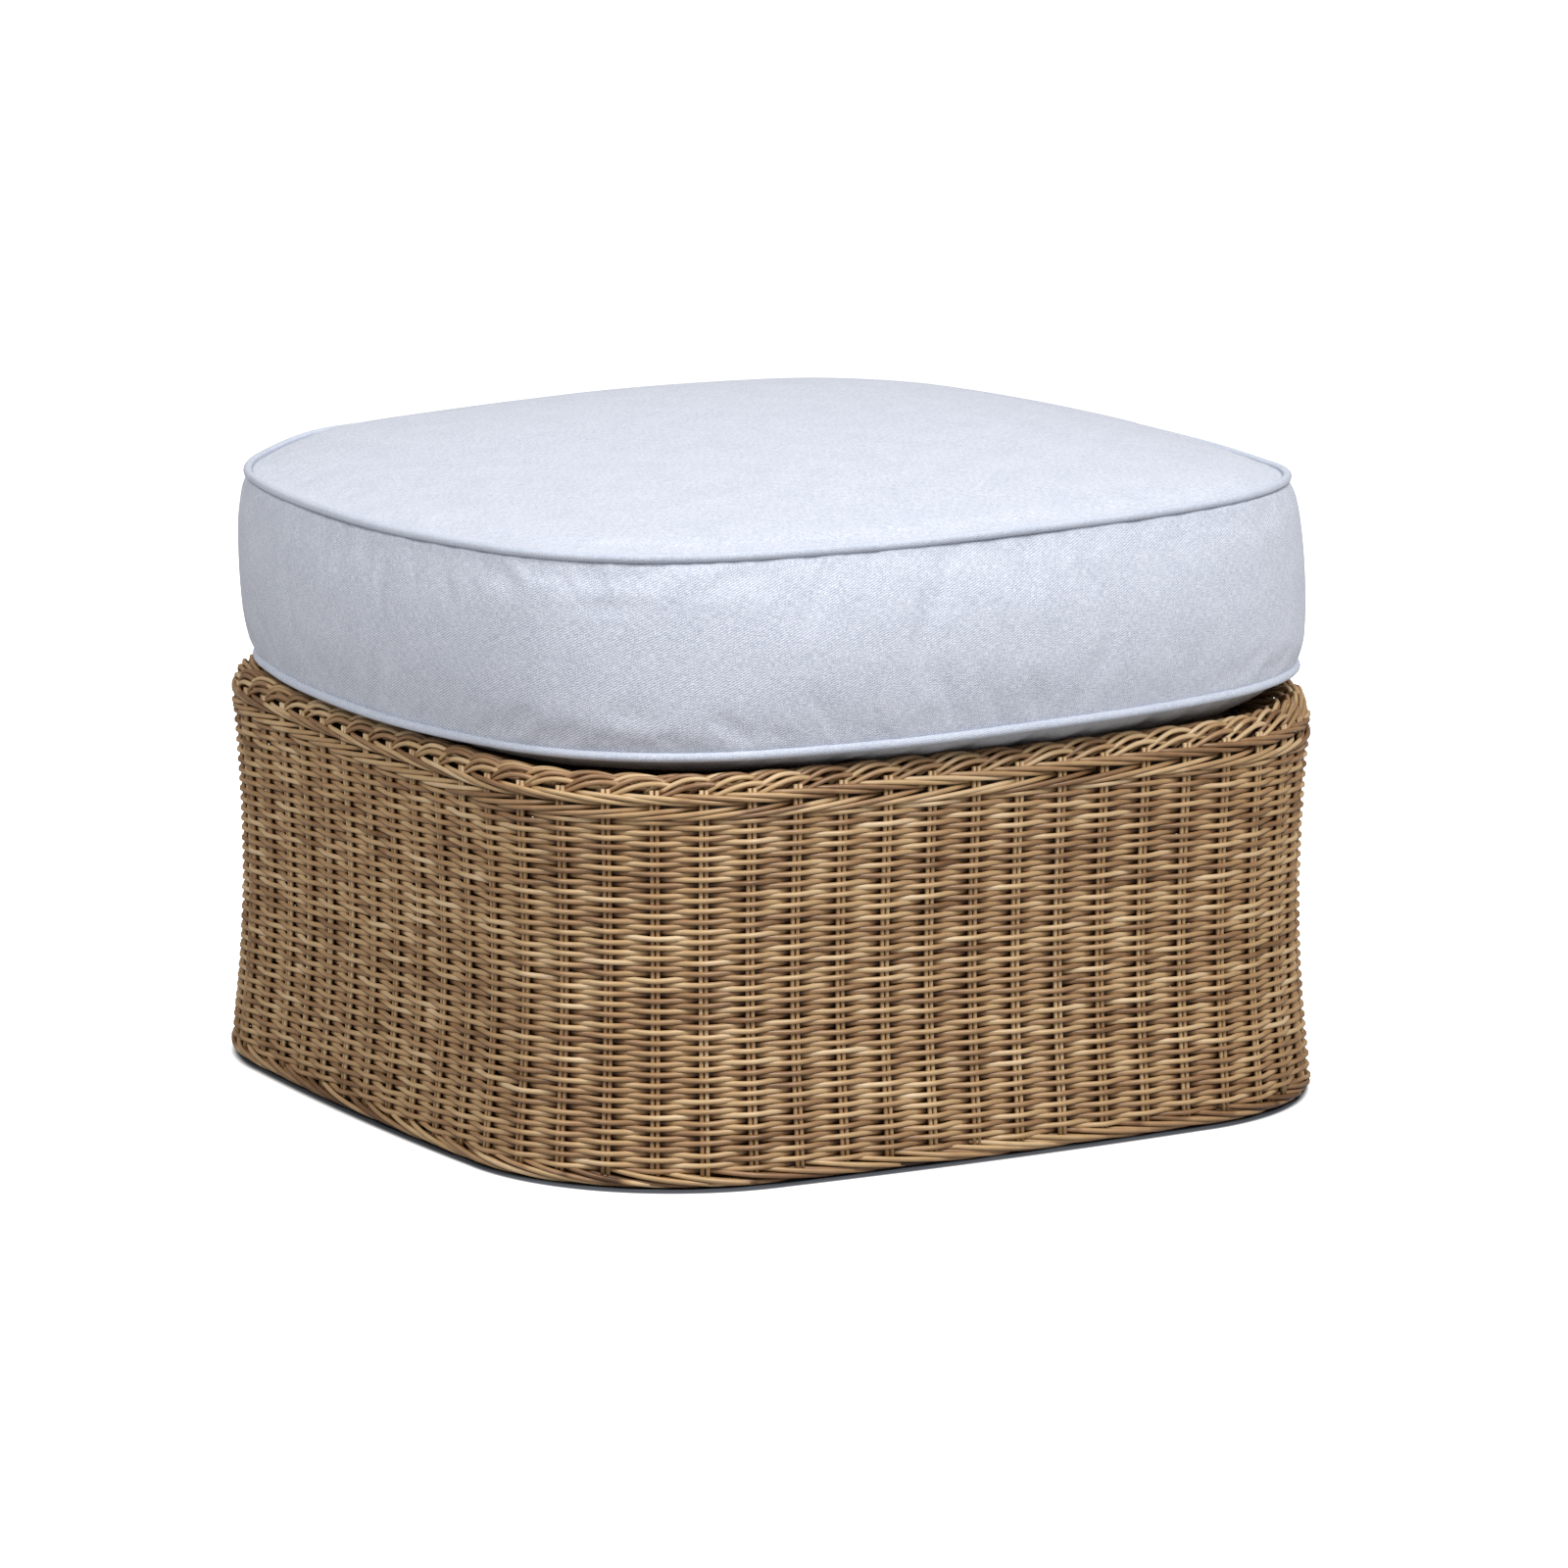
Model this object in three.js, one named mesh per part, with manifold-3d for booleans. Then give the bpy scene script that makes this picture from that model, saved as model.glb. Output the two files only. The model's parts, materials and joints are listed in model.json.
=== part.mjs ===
// Outdoor ottoman footstool: a base of woven resin strands over a welded aluminium tube frame,
// and a loose box cushion with a crowned top, piped seams and a zip along its back.
// Millimetres, +Z up. The origin is the centre of the base, on the floor. The front faces -Y.

import * as THREE from 'three';
import { mergeVertices } from 'three/addons/utils/BufferGeometryUtils.js';
import Module from 'manifold-3d';

const wasm = await Module();
wasm.setup();

// Woven base: its outline at the outermost strands
const baseWidth = 610;
const baseDepth = 610;
const baseCornerRadius = 149;
const baseSideBow = 4.3;
const stakeCount = 68;

// Woven base: heights and thicknesses
const rimHeight = 248;
const glideStandoff = 3;
const topBraidHeight = 18;
const footBorderHeight = 18;
const weaveThickness = 9;
const wallInset = 2.5;
const waistDepth = 6;
const waistHeight = 109;
const weaveBandHeight = 8.3;
const overStrandDepth = 0.8;
const underStrandDepth = 5.2;
const rimRise = 8.5;
const rimStart = 4.5;
const rimWidth = 44;
const rimScallop = 2.2;
const footBorderFloor = 5;
const footBorderReach = 35;
const footBorderRound = 9;

// Aluminium frame
const ringTubeDiameter = 22;
const ringTubeWall = 1.5;
const uprightDiameter = 16;
const uprightWall = 1.5;
const uprightClearance = 1.2;
const deckBarDiameter = 19;
const deckBarWall = 1.5;
const deckBarGap = 71;
const deckThickness = 7;
const drainHoleDiameter = 5;
const drainHoleSpacing = 60;

// Nylon glides
const glidePadDiameter = 25;
const glidePadEdge = 1;
const glideStemDiameter = 6;
const glideStemGrip = 3;

// Cushion: its outline at the seams, and its heights
const cushionWidth = 622;
const cushionDepth = 622;
const cushionCornerRadius = 172;
const cushionSideBow = 14.8;
const cushionDroop = 24.7;
const cushionDroopWidth = 85;
const cushionDroopLead = 6;
const boxingHeight = 126;
const boxingBulge = 6.5;
const crownRise = 32;
const crownPower = 2.6;
const pipingDiameter = 6;
const fabricThickness = 1.2;
const foamInset = 10;
const battingEdge = 3;

// Zip in the back of the cushion
const zipLength = 316;
const zipSlotHeight = 12;
const zipTapeHeight = 14;
const zipTapeThickness = 0.8;
const zipTapeParting = 1;
const zipTeethHeight = 6;
const zipTeethDepth = 2;
const zipStopLength = 3;
const zipStopRise = 0.8;
const sliderLength = 12;
const sliderHeight = 10;
const sliderPlate = 1.5;
const sliderFlange = 1.6;
const sliderGap = 0.4;
const sliderStopGap = 2;
const bailSpan = 8;
const bailLeg = 1.6;
const bailBarDiameter = 1.6;
const bailStandoff = 2.6;
const pullEyeDiameter = 4.4;
const pullHoleDiameter = 2.4;
const pullLength = 24;
const pullThickness = 1.4;
const pullWidth = 5.4;

// Gap between pieces that touch, and how far a cutting tool runs past what it cuts
const clearance = 0.3;
const cutOverrun = 2;

// Heights worked out from the sizes
const footBorderTop = glideStandoff + footBorderHeight;
const topBraidBottom = rimHeight - topBraidHeight;
const weaveBottom = footBorderTop + clearance;
const weaveTop = topBraidBottom - clearance;
const ringTubeRadius = ringTubeDiameter / 2;
const topRingHeight = rimHeight - ringTubeRadius;
const bottomRingHeight = glideStandoff + footBorderFloor + clearance + ringTubeRadius;
const deckBottom = rimHeight - deckThickness;
const deckBarHeight = deckBottom - clearance - deckBarDiameter / 2;
const pipingRadius = pipingDiameter / 2;
const bottomSeam = rimHeight + clearance + cushionDroop;
const topSeam = bottomSeam + boxingHeight;
const seamMiddle = (bottomSeam + topSeam) / 2;

// How far the outer face of the weave lies in from the outline at a height: most at the waist
function weaveInset(height) {
  const end = height > waistHeight ? weaveTop : weaveBottom;
  const along = (height - waistHeight) / (end - waistHeight);
  return wallInset + waistDepth * (1 - Math.min(1, along * along));
}

const ringSeat = weaveThickness + clearance + ringTubeRadius;
const topRingInset = weaveInset(topRingHeight - ringTubeRadius) + ringSeat;
const bottomRingInset = weaveInset(bottomRingHeight + ringTubeRadius) + ringSeat;
const uprightInset = weaveInset(waistHeight) + weaveThickness + uprightClearance + uprightDiameter / 2;

// A closed outline of eight arcs: four bowed sides and the four corners that they run into
function makeOutline(width, depth, cornerRadius, bow) {
  const centreX = width / 2 - bow - cornerRadius;
  const centreY = depth / 2 - bow - cornerRadius;
  const arcs = [];
  for (let side = 0; side < 4; side += 1) {
    const facing = side * Math.PI / 2;
    const reach = side % 2 === 0 ? width / 2 : depth / 2;
    const halfChord = side % 2 === 0 ? centreY : centreX;
    const nextHalfChord = side % 2 === 0 ? centreX : centreY;
    const bowRadius = (halfChord * halfChord + bow * bow) / (2 * bow);
    const nextBowRadius = (nextHalfChord * nextHalfChord + bow * bow) / (2 * bow);
    const spread = Math.asin(halfChord / bowRadius);
    const nextSpread = Math.asin(nextHalfChord / nextBowRadius);
    const radius = bowRadius + cornerRadius;
    const back = reach - radius;
    arcs.push({
      x: back * Math.cos(facing), y: back * Math.sin(facing), radius,
      from: facing - spread, to: facing + spread,
    });
    const cornerFacing = facing + Math.PI / 4;
    arcs.push({
      x: Math.sign(Math.cos(cornerFacing)) * centreX, y: Math.sign(Math.sin(cornerFacing)) * centreY,
      radius: cornerRadius, from: facing + spread, to: facing + Math.PI / 2 - nextSpread,
    });
  }
  return arcs;
}

// A place on an arc, with the direction that faces out there
function placeOn(arc, angle) {
  const outX = Math.cos(angle);
  const outY = Math.sin(angle);
  return { x: arc.x + arc.radius * outX, y: arc.y + arc.radius * outY, outX, outY };
}

// A place moved outwards by an offset
function moved(place, offset) {
  return { ...place, x: place.x + place.outX * offset, y: place.y + place.outY * offset };
}

// The length of each arc of an outline, moved outwards by an offset
function arcLengths(arcs, offset) {
  return arcs.map((arc) => (arc.radius + offset) * (arc.to - arc.from));
}

// The place at a distance round an outline whose arcs have these lengths
function placeAfter(arcs, lengths, distance) {
  let left = distance;
  let number = 0;
  while (left > lengths[number]) {
    left -= lengths[number];
    number += 1;
  }
  const arc = arcs[number];
  return placeOn(arc, arc.from + (arc.to - arc.from) * left / lengths[number]);
}

// Places at equal steps right round an outline
function evenPlaces(arcs, count) {
  const lengths = arcLengths(arcs, 0);
  const total = lengths.reduce((sum, length) => sum + length, 0);
  const places = [];
  for (let index = 0; index < count; index += 1) {
    places.push(placeAfter(arcs, lengths, total * (index + 1 / 2) / count));
  }
  return places;
}

// The same places with the middle of each chord put between them
function withMiddles(places) {
  const result = [];
  places.forEach((place, index) => {
    const next = places[(index + 1) % places.length];
    result.push(place);
    result.push({
      x: (place.x + next.x) / 2, y: (place.y + next.y) / 2,
      outX: (place.outX + next.outX) / 2, outY: (place.outY + next.outY) / 2,
    });
  });
  return result;
}

const baseOutline = makeOutline(baseWidth, baseDepth, baseCornerRadius, baseSideBow);
const cushionOutline = makeOutline(cushionWidth, cushionDepth, cushionCornerRadius, cushionSideBow);
const stakePlaces = evenPlaces(baseOutline, stakeCount);
const ribPlaces = withMiddles(stakePlaces);
const cornerSteps = 8;
const sideSteps = 4;

// Distances round the cushion outline where its mesh has a place, with its arcs moved outwards by an offset
function cushionDistances(offset) {
  const lengths = arcLengths(cushionOutline, offset);
  const distances = [];
  let start = 0;
  lengths.forEach((length, index) => {
    const steps = index % 2 === 0 ? sideSteps : cornerSteps;
    for (let step = 0; step < steps; step += 1) {
      distances.push(start + length * step / steps);
    }
    start += length;
  });
  return distances;
}

const cushionLengths = arcLengths(cushionOutline, 0);
const cushionPlaces = cushionDistances(0).map((distance) => (
  placeAfter(cushionOutline, cushionLengths, distance)
));

function geometryFrom(points, triangles) {
  const geometry = new THREE.BufferGeometry();
  geometry.setAttribute('position', new THREE.Float32BufferAttribute(points, 3));
  geometry.setIndex(triangles);
  geometry.computeVertexNormals();
  return geometry;
}

// A section carried round or along a row of places. Section points are [offset outwards, height],
// anticlockwise with the offset to the right; an open row is closed by its two end faces.
function sweep(places, sectionAt, closed = true) {
  const points = [];
  const triangles = [];
  const size = sectionAt(0).length;
  places.forEach((place, index) => {
    sectionAt(index).forEach(([offset, height]) => {
      points.push(place.x + place.outX * offset, place.y + place.outY * offset, height);
    });
  });
  const spans = closed ? places.length : places.length - 1;
  for (let span = 0; span < spans; span += 1) {
    const here = span * size;
    const there = ((span + 1) % places.length) * size;
    for (let side = 0; side < size; side += 1) {
      const next = (side + 1) % size;
      triangles.push(here + side, there + side, here + next);
      triangles.push(here + next, there + side, there + next);
    }
  }
  if (!closed) {
    const contour = sectionAt(0).map(([offset, height]) => new THREE.Vector2(offset, height));
    const last = (places.length - 1) * size;
    THREE.ShapeUtils.triangulateShape(contour, []).forEach(([a, b, c]) => {
      triangles.push(a, b, c);
      triangles.push(last + a, last + c, last + b);
    });
  }
  return geometryFrom(points, triangles);
}

// A round section of a few sides
function roundSection(sides, radius, offset, height) {
  const section = [];
  for (let side = 0; side < sides; side += 1) {
    const angle = 2 * Math.PI * side / sides;
    section.push([offset + radius * Math.cos(angle), height + radius * Math.sin(angle)]);
  }
  return section;
}

// A closed body of nested rings, from a point on top, out over the edge and back to a point below.
// Each ring is { offset, share, height }: the outline moved outwards by offset, then drawn in to share.
function stack(places, topHeight, rings, bottomHeight) {
  const points = [0, 0, topHeight];
  const triangles = [];
  const count = places.length;
  rings.forEach((ring) => {
    places.forEach((place) => {
      const at = moved(place, ring.offset);
      points.push(at.x * ring.share, at.y * ring.share, ring.height);
    });
  });
  points.push(0, 0, bottomHeight);
  const bottom = 1 + rings.length * count;
  for (let index = 0; index < count; index += 1) {
    const next = (index + 1) % count;
    triangles.push(0, 1 + index, 1 + next);
    for (let ring = 0; ring < rings.length - 1; ring += 1) {
      const inner = 1 + ring * count;
      const outer = inner + count;
      triangles.push(inner + index, outer + index, inner + next);
      triangles.push(inner + next, outer + index, outer + next);
    }
    const lowest = bottom - count;
    triangles.push(bottom, lowest + next, lowest + index);
  }
  return geometryFrom(points, triangles);
}

// Exact solids for cutting and joining
function toSolid(geometry) {
  const bare = geometry.index ? geometry.clone() : geometry;
  bare.deleteAttribute('normal');
  bare.deleteAttribute('uv');
  const merged = mergeVertices(bare);
  return new wasm.Manifold(new wasm.Mesh({
    numProp: 3,
    vertProperties: new Float32Array(merged.attributes.position.array),
    triVerts: new Uint32Array(merged.index.array),
  }));
}

function fromSolid(solid) {
  const mesh = solid.getMesh();
  return geometryFrom(Array.from(mesh.vertProperties), Array.from(mesh.triVerts));
}

function cut(geometry, tools) {
  return fromSolid(tools.reduce((solid, tool) => solid.subtract(toSolid(tool)), toSolid(geometry)));
}

function join(geometries) {
  const [first, ...others] = geometries;
  return fromSolid(others.reduce((solid, extra) => solid.add(toSolid(extra)), toSolid(first)));
}

// An upright round bar or drill, between two heights
const roundSides = 12;
function roundBar(diameter, bottom, top, x, y) {
  const bar = new THREE.CylinderGeometry(diameter / 2, diameter / 2, top - bottom, roundSides);
  bar.rotateX(Math.PI / 2);
  bar.translate(x, y, (bottom + top) / 2);
  return bar;
}

// A straight round tube, open at both ends, along +Z from zero
const tubeHalfSides = 5;
function openTube(diameter, wall, length) {
  const shape = new THREE.Shape();
  shape.absarc(0, 0, diameter / 2, 0, Math.PI * 2);
  const bore = new THREE.Path();
  bore.absarc(0, 0, diameter / 2 - wall, 0, Math.PI * 2, true);
  shape.holes.push(bore);
  const settings = { depth: length, bevelEnabled: false, curveSegments: tubeHalfSides };
  return new THREE.ExtrudeGeometry(shape, settings);
}

const frameMaterial = { color: 0x4a3a2c, roughness: 0.5, metalness: 0.6 };
const wickerMaterial = { color: 0xa9824f, roughness: 0.55, metalness: 0 };
const deckMaterial = { color: 0x8f6d42, roughness: 0.6, metalness: 0 };
const fabricMaterial = { color: 0xc3cbdc, roughness: 0.9, metalness: 0 };
const pipingMaterial = { color: 0xb4bfd4, roughness: 0.9, metalness: 0 };
const foamMaterial = { color: 0xf0ead8, roughness: 0.95, metalness: 0 };
const battingMaterial = { color: 0xf6f6f4, roughness: 1, metalness: 0 };
const nylonMaterial = { color: 0x2b2622, roughness: 0.6, metalness: 0 };
const zipMaterial = { color: 0xb9c0cc, roughness: 0.5, metalness: 0 };

function part(name, geometry, look) {
  const mesh = new THREE.Mesh(geometry, new THREE.MeshStandardMaterial(look));
  mesh.name = name;
  return mesh;
}

// Frame rings: hollow tube, bent to the outline and welded closed
const ringTubeSides = 8;
const ringBoreSides = 6;
function ringTube(inset, height, holes) {
  const outside = sweep(stakePlaces, () => roundSection(ringTubeSides, ringTubeRadius, -inset, height));
  const boreRadius = ringTubeRadius - ringTubeWall;
  const bore = sweep(stakePlaces, () => roundSection(ringBoreSides, boreRadius, -inset, height));
  return cut(outside, [bore, ...holes]);
}

// The middles of the four corners, moved in from the outline
function cornerMiddles(inset) {
  return baseOutline.filter((arc, index) => index % 2 === 1)
    .map((arc) => moved(placeOn(arc, (arc.from + arc.to) / 2), -inset));
}

// The middles of the four sides, moved in from the outline
function sideMiddles(inset) {
  return baseOutline.filter((arc, index) => index % 2 === 0)
    .map((arc) => moved(placeOn(arc, (arc.from + arc.to) / 2), -inset));
}

function makeTopRing() {
  const ringBottom = topRingHeight - ringTubeRadius;
  const back = sideMiddles(topRingInset)[1];
  const drains = [-drainHoleSpacing, drainHoleSpacing].map((x) => (
    roundBar(drainHoleDiameter, ringBottom - cutOverrun, topRingHeight, x, back.y)
  ));
  return part('frame_top_ring', ringTube(topRingInset, topRingHeight, drains), frameMaterial);
}

function glideHoles(bottom, top) {
  return cornerMiddles(bottomRingInset).map((place) => (
    roundBar(glideStemDiameter + 2 * clearance, bottom, top, place.x, place.y)
  ));
}

function makeBottomRing() {
  const holes = glideHoles(glideStandoff, bottomRingHeight);
  return part('frame_bottom_ring', ringTube(bottomRingInset, bottomRingHeight, holes), frameMaterial);
}

function makeUprights() {
  const bottom = bottomRingHeight + ringTubeRadius + clearance;
  const top = topRingHeight - ringTubeRadius - clearance;
  const cornerNames = ['back_right', 'back_left', 'front_left', 'front_right'];
  const sideNames = ['right', 'back', 'left', 'front'];
  const corners = cornerMiddles(uprightInset).map((place, index) => ({ place, name: cornerNames[index] }));
  const sides = sideMiddles(uprightInset).map((place, index) => ({ place, name: sideNames[index] }));
  return [...corners, ...sides].map(({ place, name }) => {
    const tube = openTube(uprightDiameter, uprightWall, top - bottom);
    const upright = part(`upright_${name}`, tube, frameMaterial);
    upright.position.set(place.x, place.y, bottom);
    return upright;
  });
}

// How far the base outline reaches back at a distance from the centre line
function baseReach(x) {
  const back = baseOutline[2];
  return back.y + Math.sqrt(back.radius * back.radius - x * x);
}

function makeDeckBars() {
  const ringInner = topRingInset + ringTubeRadius + clearance;
  const deckBarSpacing = deckBarGap + deckBarDiameter;
  return [-3 / 2, -1 / 2, 1 / 2, 3 / 2].map((steps, index) => {
    const x = steps * deckBarSpacing;
    const halfLength = baseReach(Math.abs(x) + deckBarDiameter / 2) - ringInner;
    const tube = openTube(deckBarDiameter, deckBarWall, 2 * halfLength);
    const bar = part(`deck_bar_${index + 1}`, tube, frameMaterial);
    bar.rotation.x = -Math.PI / 2;
    bar.position.set(x, -halfLength, deckBarHeight);
    return bar;
  });
}

function makeDeckPanel() {
  const edge = topRingInset + ringTubeRadius + clearance;
  const outline = stakePlaces.map((place) => moved(place, -edge));
  const shape = new THREE.Shape(outline.map((place) => new THREE.Vector2(place.x, place.y)));
  const slab = new THREE.ExtrudeGeometry(shape, { depth: deckThickness, bevelEnabled: false });
  const panel = part('deck_panel', slab, deckMaterial);
  panel.position.z = deckBottom;
  return panel;
}

// Side weave: a waisted wall in basket relief, whose bands pass over one pair of canes and under the next
function makeSideWeave() {
  const innerRowShares = [1, 0.72, 0.45, 0];
  const bandCount = Math.max(2, Math.round((weaveTop - weaveBottom) / weaveBandHeight));
  const pointAt = (share, depth) => {
    const height = weaveBottom + (weaveTop - weaveBottom) * share;
    return [-weaveInset(height) - depth, height];
  };
  const sectionAt = (index) => {
    const outer = [];
    for (let row = 0; row <= bandCount; row += 1) {
      const depth = (index + row) % 2 === 0 ? overStrandDepth : underStrandDepth;
      outer.push(pointAt(row / bandCount, depth));
    }
    const inner = innerRowShares.map((share) => pointAt(share, weaveThickness));
    return [...outer, ...inner];
  };
  return part('side_weave', sweep(stakePlaces, sectionAt), wickerMaterial);
}

// Top braid: two waled rows that stand proud of the weave, with the ridge along their top
function makeTopBraid() {
  const bulgeShares = [[1, 0], [0.1, 0.25], [0, 0.5], [0.35, 0.78], [1.5, 1]];
  const outer = bulgeShares.map(([insetShare, heightShare]) => (
    [-wallInset * insetShare, topBraidBottom + topBraidHeight * heightShare]
  ));
  const innerFace = -wallInset - weaveThickness;
  const section = [...outer, [innerFace, rimHeight], [innerFace, topBraidBottom]];
  return part('top_braid', sweep(stakePlaces, () => section), wickerMaterial);
}

// Rolled rim: strand groups that rise over the ridge and run in under the cushion, one scallop to a stake
function makeRolledRim() {
  const bottom = rimHeight + clearance;
  const profileShares = [[0, 0.4], [0.12, 0.85], [0.32, 1], [0.6, 0.85], [0.88, 0.42], [1, 0.1]];
  const sectionAt = (index) => {
    const dip = index % 2 === 0 ? 0 : rimScallop;
    const under = [[-rimStart - rimWidth, bottom], [-rimStart, bottom]];
    const over = profileShares.map(([acrossShare, riseShare]) => (
      [-rimStart - rimWidth * acrossShare, bottom + (rimRise - dip) * riseShare]
    ));
    return [...under, ...over];
  };
  return part('rolled_rim', sweep(ribPlaces, sectionAt), wickerMaterial);
}

// Foot border: the rows that round under the bottom ring, with holes for the glides
function makeFootBorder() {
  const bottom = glideStandoff;
  const floorTop = bottom + footBorderFloor;
  const innerFace = -wallInset - weaveThickness;
  const cornerShare = 0.3;
  const section = [
    [innerFace, footBorderTop],
    [innerFace, floorTop],
    [-footBorderReach, floorTop],
    [-footBorderReach, bottom],
    [-footBorderRound, bottom],
    [-footBorderRound * cornerShare, bottom + footBorderRound * cornerShare],
    [0, bottom + footBorderRound],
    [-wallInset, footBorderTop],
  ];
  const holes = glideHoles(bottom - cutOverrun, floorTop + cutOverrun);
  return part('foot_border', cut(sweep(stakePlaces, () => section), holes), wickerMaterial);
}

// Nylon glides: a pad on the floor and a stem through the border into the bottom ring
function makeGlides() {
  const padTop = glideStandoff - clearance;
  const stemTop = bottomRingHeight - ringTubeRadius + ringTubeWall + glideStemGrip;
  const padRadius = glidePadDiameter / 2;
  const stemRadius = glideStemDiameter / 2;
  const profile = [
    [0, 0], [padRadius - glidePadEdge, 0], [padRadius, glidePadEdge], [padRadius, padTop],
    [stemRadius, padTop], [stemRadius, stemTop], [0, stemTop],
  ].map(([radius, height]) => new THREE.Vector2(radius, height));
  return cornerMiddles(bottomRingInset).map((place, index) => {
    const turned = new THREE.LatheGeometry(profile, roundSides);
    turned.rotateX(Math.PI / 2);
    const glide = part(`glide_${index + 1}`, turned, nylonMaterial);
    glide.position.set(place.x, place.y, 0);
    return glide;
  });
}

// Cushion surfaces: height above the top seam, and depth below the bottom seam, by share of the way out.
// The underside starts to droop a set way outside the base, so that it clears the rolled rim.
const cushionHalf = Math.min(cushionWidth, cushionDepth) / 2;
const rimShare = Math.min(1, baseWidth / cushionWidth, baseDepth / cushionDepth);
const droopStart = Math.max(0, (1 - rimShare) * cushionHalf - cushionDroopLead);
const crownAt = (share) => crownRise * (1 - share ** crownPower);
function droopAt(share) {
  const inwards = Math.max(0, (1 - share) * cushionHalf - droopStart);
  const along = Math.min(1, inwards / cushionDroopWidth);
  return cushionDroop * (1 - (1 - along) ** 2);
}

const panelEdge = -pipingRadius - clearance;
const outRingShares = [0.35, 0.6, 0.8, 0.93, 1];
const droopRingShares = [0.7, 0.86, 1];

function ringsOf(ringShares, heightAt) {
  return ringShares.map((share) => ({ offset: panelEdge, share, height: heightAt(share) }));
}

function makeTopPanel() {
  const faceAt = (share) => topSeam + crownAt(share);
  const backAt = (share) => faceAt(share) - fabricThickness;
  const rings = [...ringsOf(outRingShares, faceAt), ...ringsOf(outRingShares, backAt).reverse()];
  return part('cover_top_panel', stack(cushionPlaces, faceAt(0), rings, backAt(0)), fabricMaterial);
}

function makeBottomPanel() {
  const faceAt = (share) => bottomSeam - droopAt(share);
  const backAt = (share) => faceAt(share) + fabricThickness;
  const rings = [...ringsOf(droopRingShares, backAt), ...ringsOf(droopRingShares, faceAt).reverse()];
  return part('cover_bottom_panel', stack(cushionPlaces, backAt(0), rings, faceAt(0)), fabricMaterial);
}

const pipingSides = 6;
function makePiping(name, height) {
  const section = roundSection(pipingSides, pipingRadius, 0, height);
  return part(name, sweep(cushionPlaces, () => section), pipingMaterial);
}

const foamTop = topSeam - battingEdge;
const foamBottom = bottomSeam + battingEdge;

function makeFoamCore() {
  const rings = [foamTop, foamBottom].map((height) => ({ offset: -foamInset, share: 1, height }));
  return part('foam_core', stack(cushionPlaces, foamTop, rings, foamBottom), foamMaterial);
}

// The fibre wrap fills the crown and the droop between the foam and the cover
function makeUpperWrap() {
  const faceAt = (share) => topSeam + crownAt(share) - fabricThickness - clearance;
  const flat = { offset: panelEdge, share: 1, height: foamTop + clearance };
  const shape = stack(cushionPlaces, faceAt(0), [...ringsOf(outRingShares, faceAt), flat], flat.height);
  return part('fibre_wrap_upper', shape, battingMaterial);
}

function makeLowerWrap() {
  const faceAt = (share) => bottomSeam - droopAt(share) + fabricThickness + clearance;
  const face = ringsOf(droopRingShares, faceAt).reverse();
  const flat = { offset: panelEdge, share: 1, height: foamBottom - clearance };
  const shape = stack(cushionPlaces, flat.height, [flat, ...face], faceAt(0));
  return part('fibre_wrap_lower', shape, battingMaterial);
}

// Boxing: the band between the pipings, fullest at half height
const boxingBottom = bottomSeam + pipingRadius + clearance;
const boxingTop = topSeam - pipingRadius - clearance;

function boxingOffset(height) {
  const along = (height - boxingBottom) / (boxingTop - boxingBottom);
  return fabricThickness / 2 + boxingBulge * 4 * along * (1 - along);
}

// A band of fabric or tape between two heights, set in from the boxing's outer face
function bandSection(bottom, top, rows, inset, thickness) {
  const outer = [];
  for (let row = 0; row <= rows; row += 1) {
    const height = bottom + (top - bottom) * row / rows;
    outer.push([boxingOffset(height) - inset, height]);
  }
  const inner = outer.map(([offset, height]) => [offset - thickness, height]).reverse();
  return [...outer, ...inner];
}

// Distances round the boxing's fullest line are measured from the middle of the back, anticlockwise
const boxingLengths = arcLengths(cushionOutline, boxingOffset(seamMiddle));
const boxingGirth = boxingLengths.reduce((sum, length) => sum + length, 0);
const backMiddle = boxingLengths[0] + boxingLengths[1] + boxingLengths[2] / 2;
const zipEnd = zipLength / 2;
const seamGap = clearance / 2;
const backStripSteps = 8;

function placeFromBack(distance) {
  return placeAfter(cushionOutline, boxingLengths, (backMiddle + distance + boxingGirth) % boxingGirth);
}

// Places between two distances from the middle of the back, both ends included
function placesFromBack(from, to, steps) {
  const places = [];
  for (let step = 0; step <= steps; step += 1) {
    places.push(placeFromBack(from + (to - from) * step / steps));
  }
  return places;
}

function makeBoxing() {
  const start = zipEnd + seamGap;
  const end = boxingGirth - zipEnd - seamGap;
  const between = cushionDistances(boxingOffset(seamMiddle))
    .map((distance) => (distance - backMiddle + boxingGirth) % boxingGirth)
    .filter((distance) => distance > start && distance < end)
    .sort((first, second) => first - second);
  const places = [start, ...between, end].map(placeFromBack);
  const section = bandSection(boxingBottom, boxingTop, 4, 0, fabricThickness);
  return part('boxing', sweep(places, () => section, false), fabricMaterial);
}

function zipPlaces() {
  return placesFromBack(-zipEnd, zipEnd, backStripSteps);
}

function makeBackStrips() {
  const slotBottom = seamMiddle - zipSlotHeight / 2;
  const slotTop = seamMiddle + zipSlotHeight / 2;
  const lower = bandSection(boxingBottom, slotBottom, 2, 0, fabricThickness);
  const upper = bandSection(slotTop, boxingTop, 2, 0, fabricThickness);
  return [
    part('boxing_back_lower', sweep(zipPlaces(), () => lower, false), fabricMaterial),
    part('boxing_back_upper', sweep(zipPlaces(), () => upper, false), fabricMaterial),
  ];
}

const tapeInset = fabricThickness + clearance;
const tapeGap = zipTapeParting / 2;
const lowerTapeTop = seamMiddle - tapeGap;
const upperTapeBottom = seamMiddle + tapeGap;
const teethBottom = seamMiddle - zipTeethHeight / 2;
const teethTop = seamMiddle + zipTeethHeight / 2;
const teethBack = boxingOffset(seamMiddle) - tapeInset + clearance;
const teethFace = teethBack + zipTeethDepth;

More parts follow.
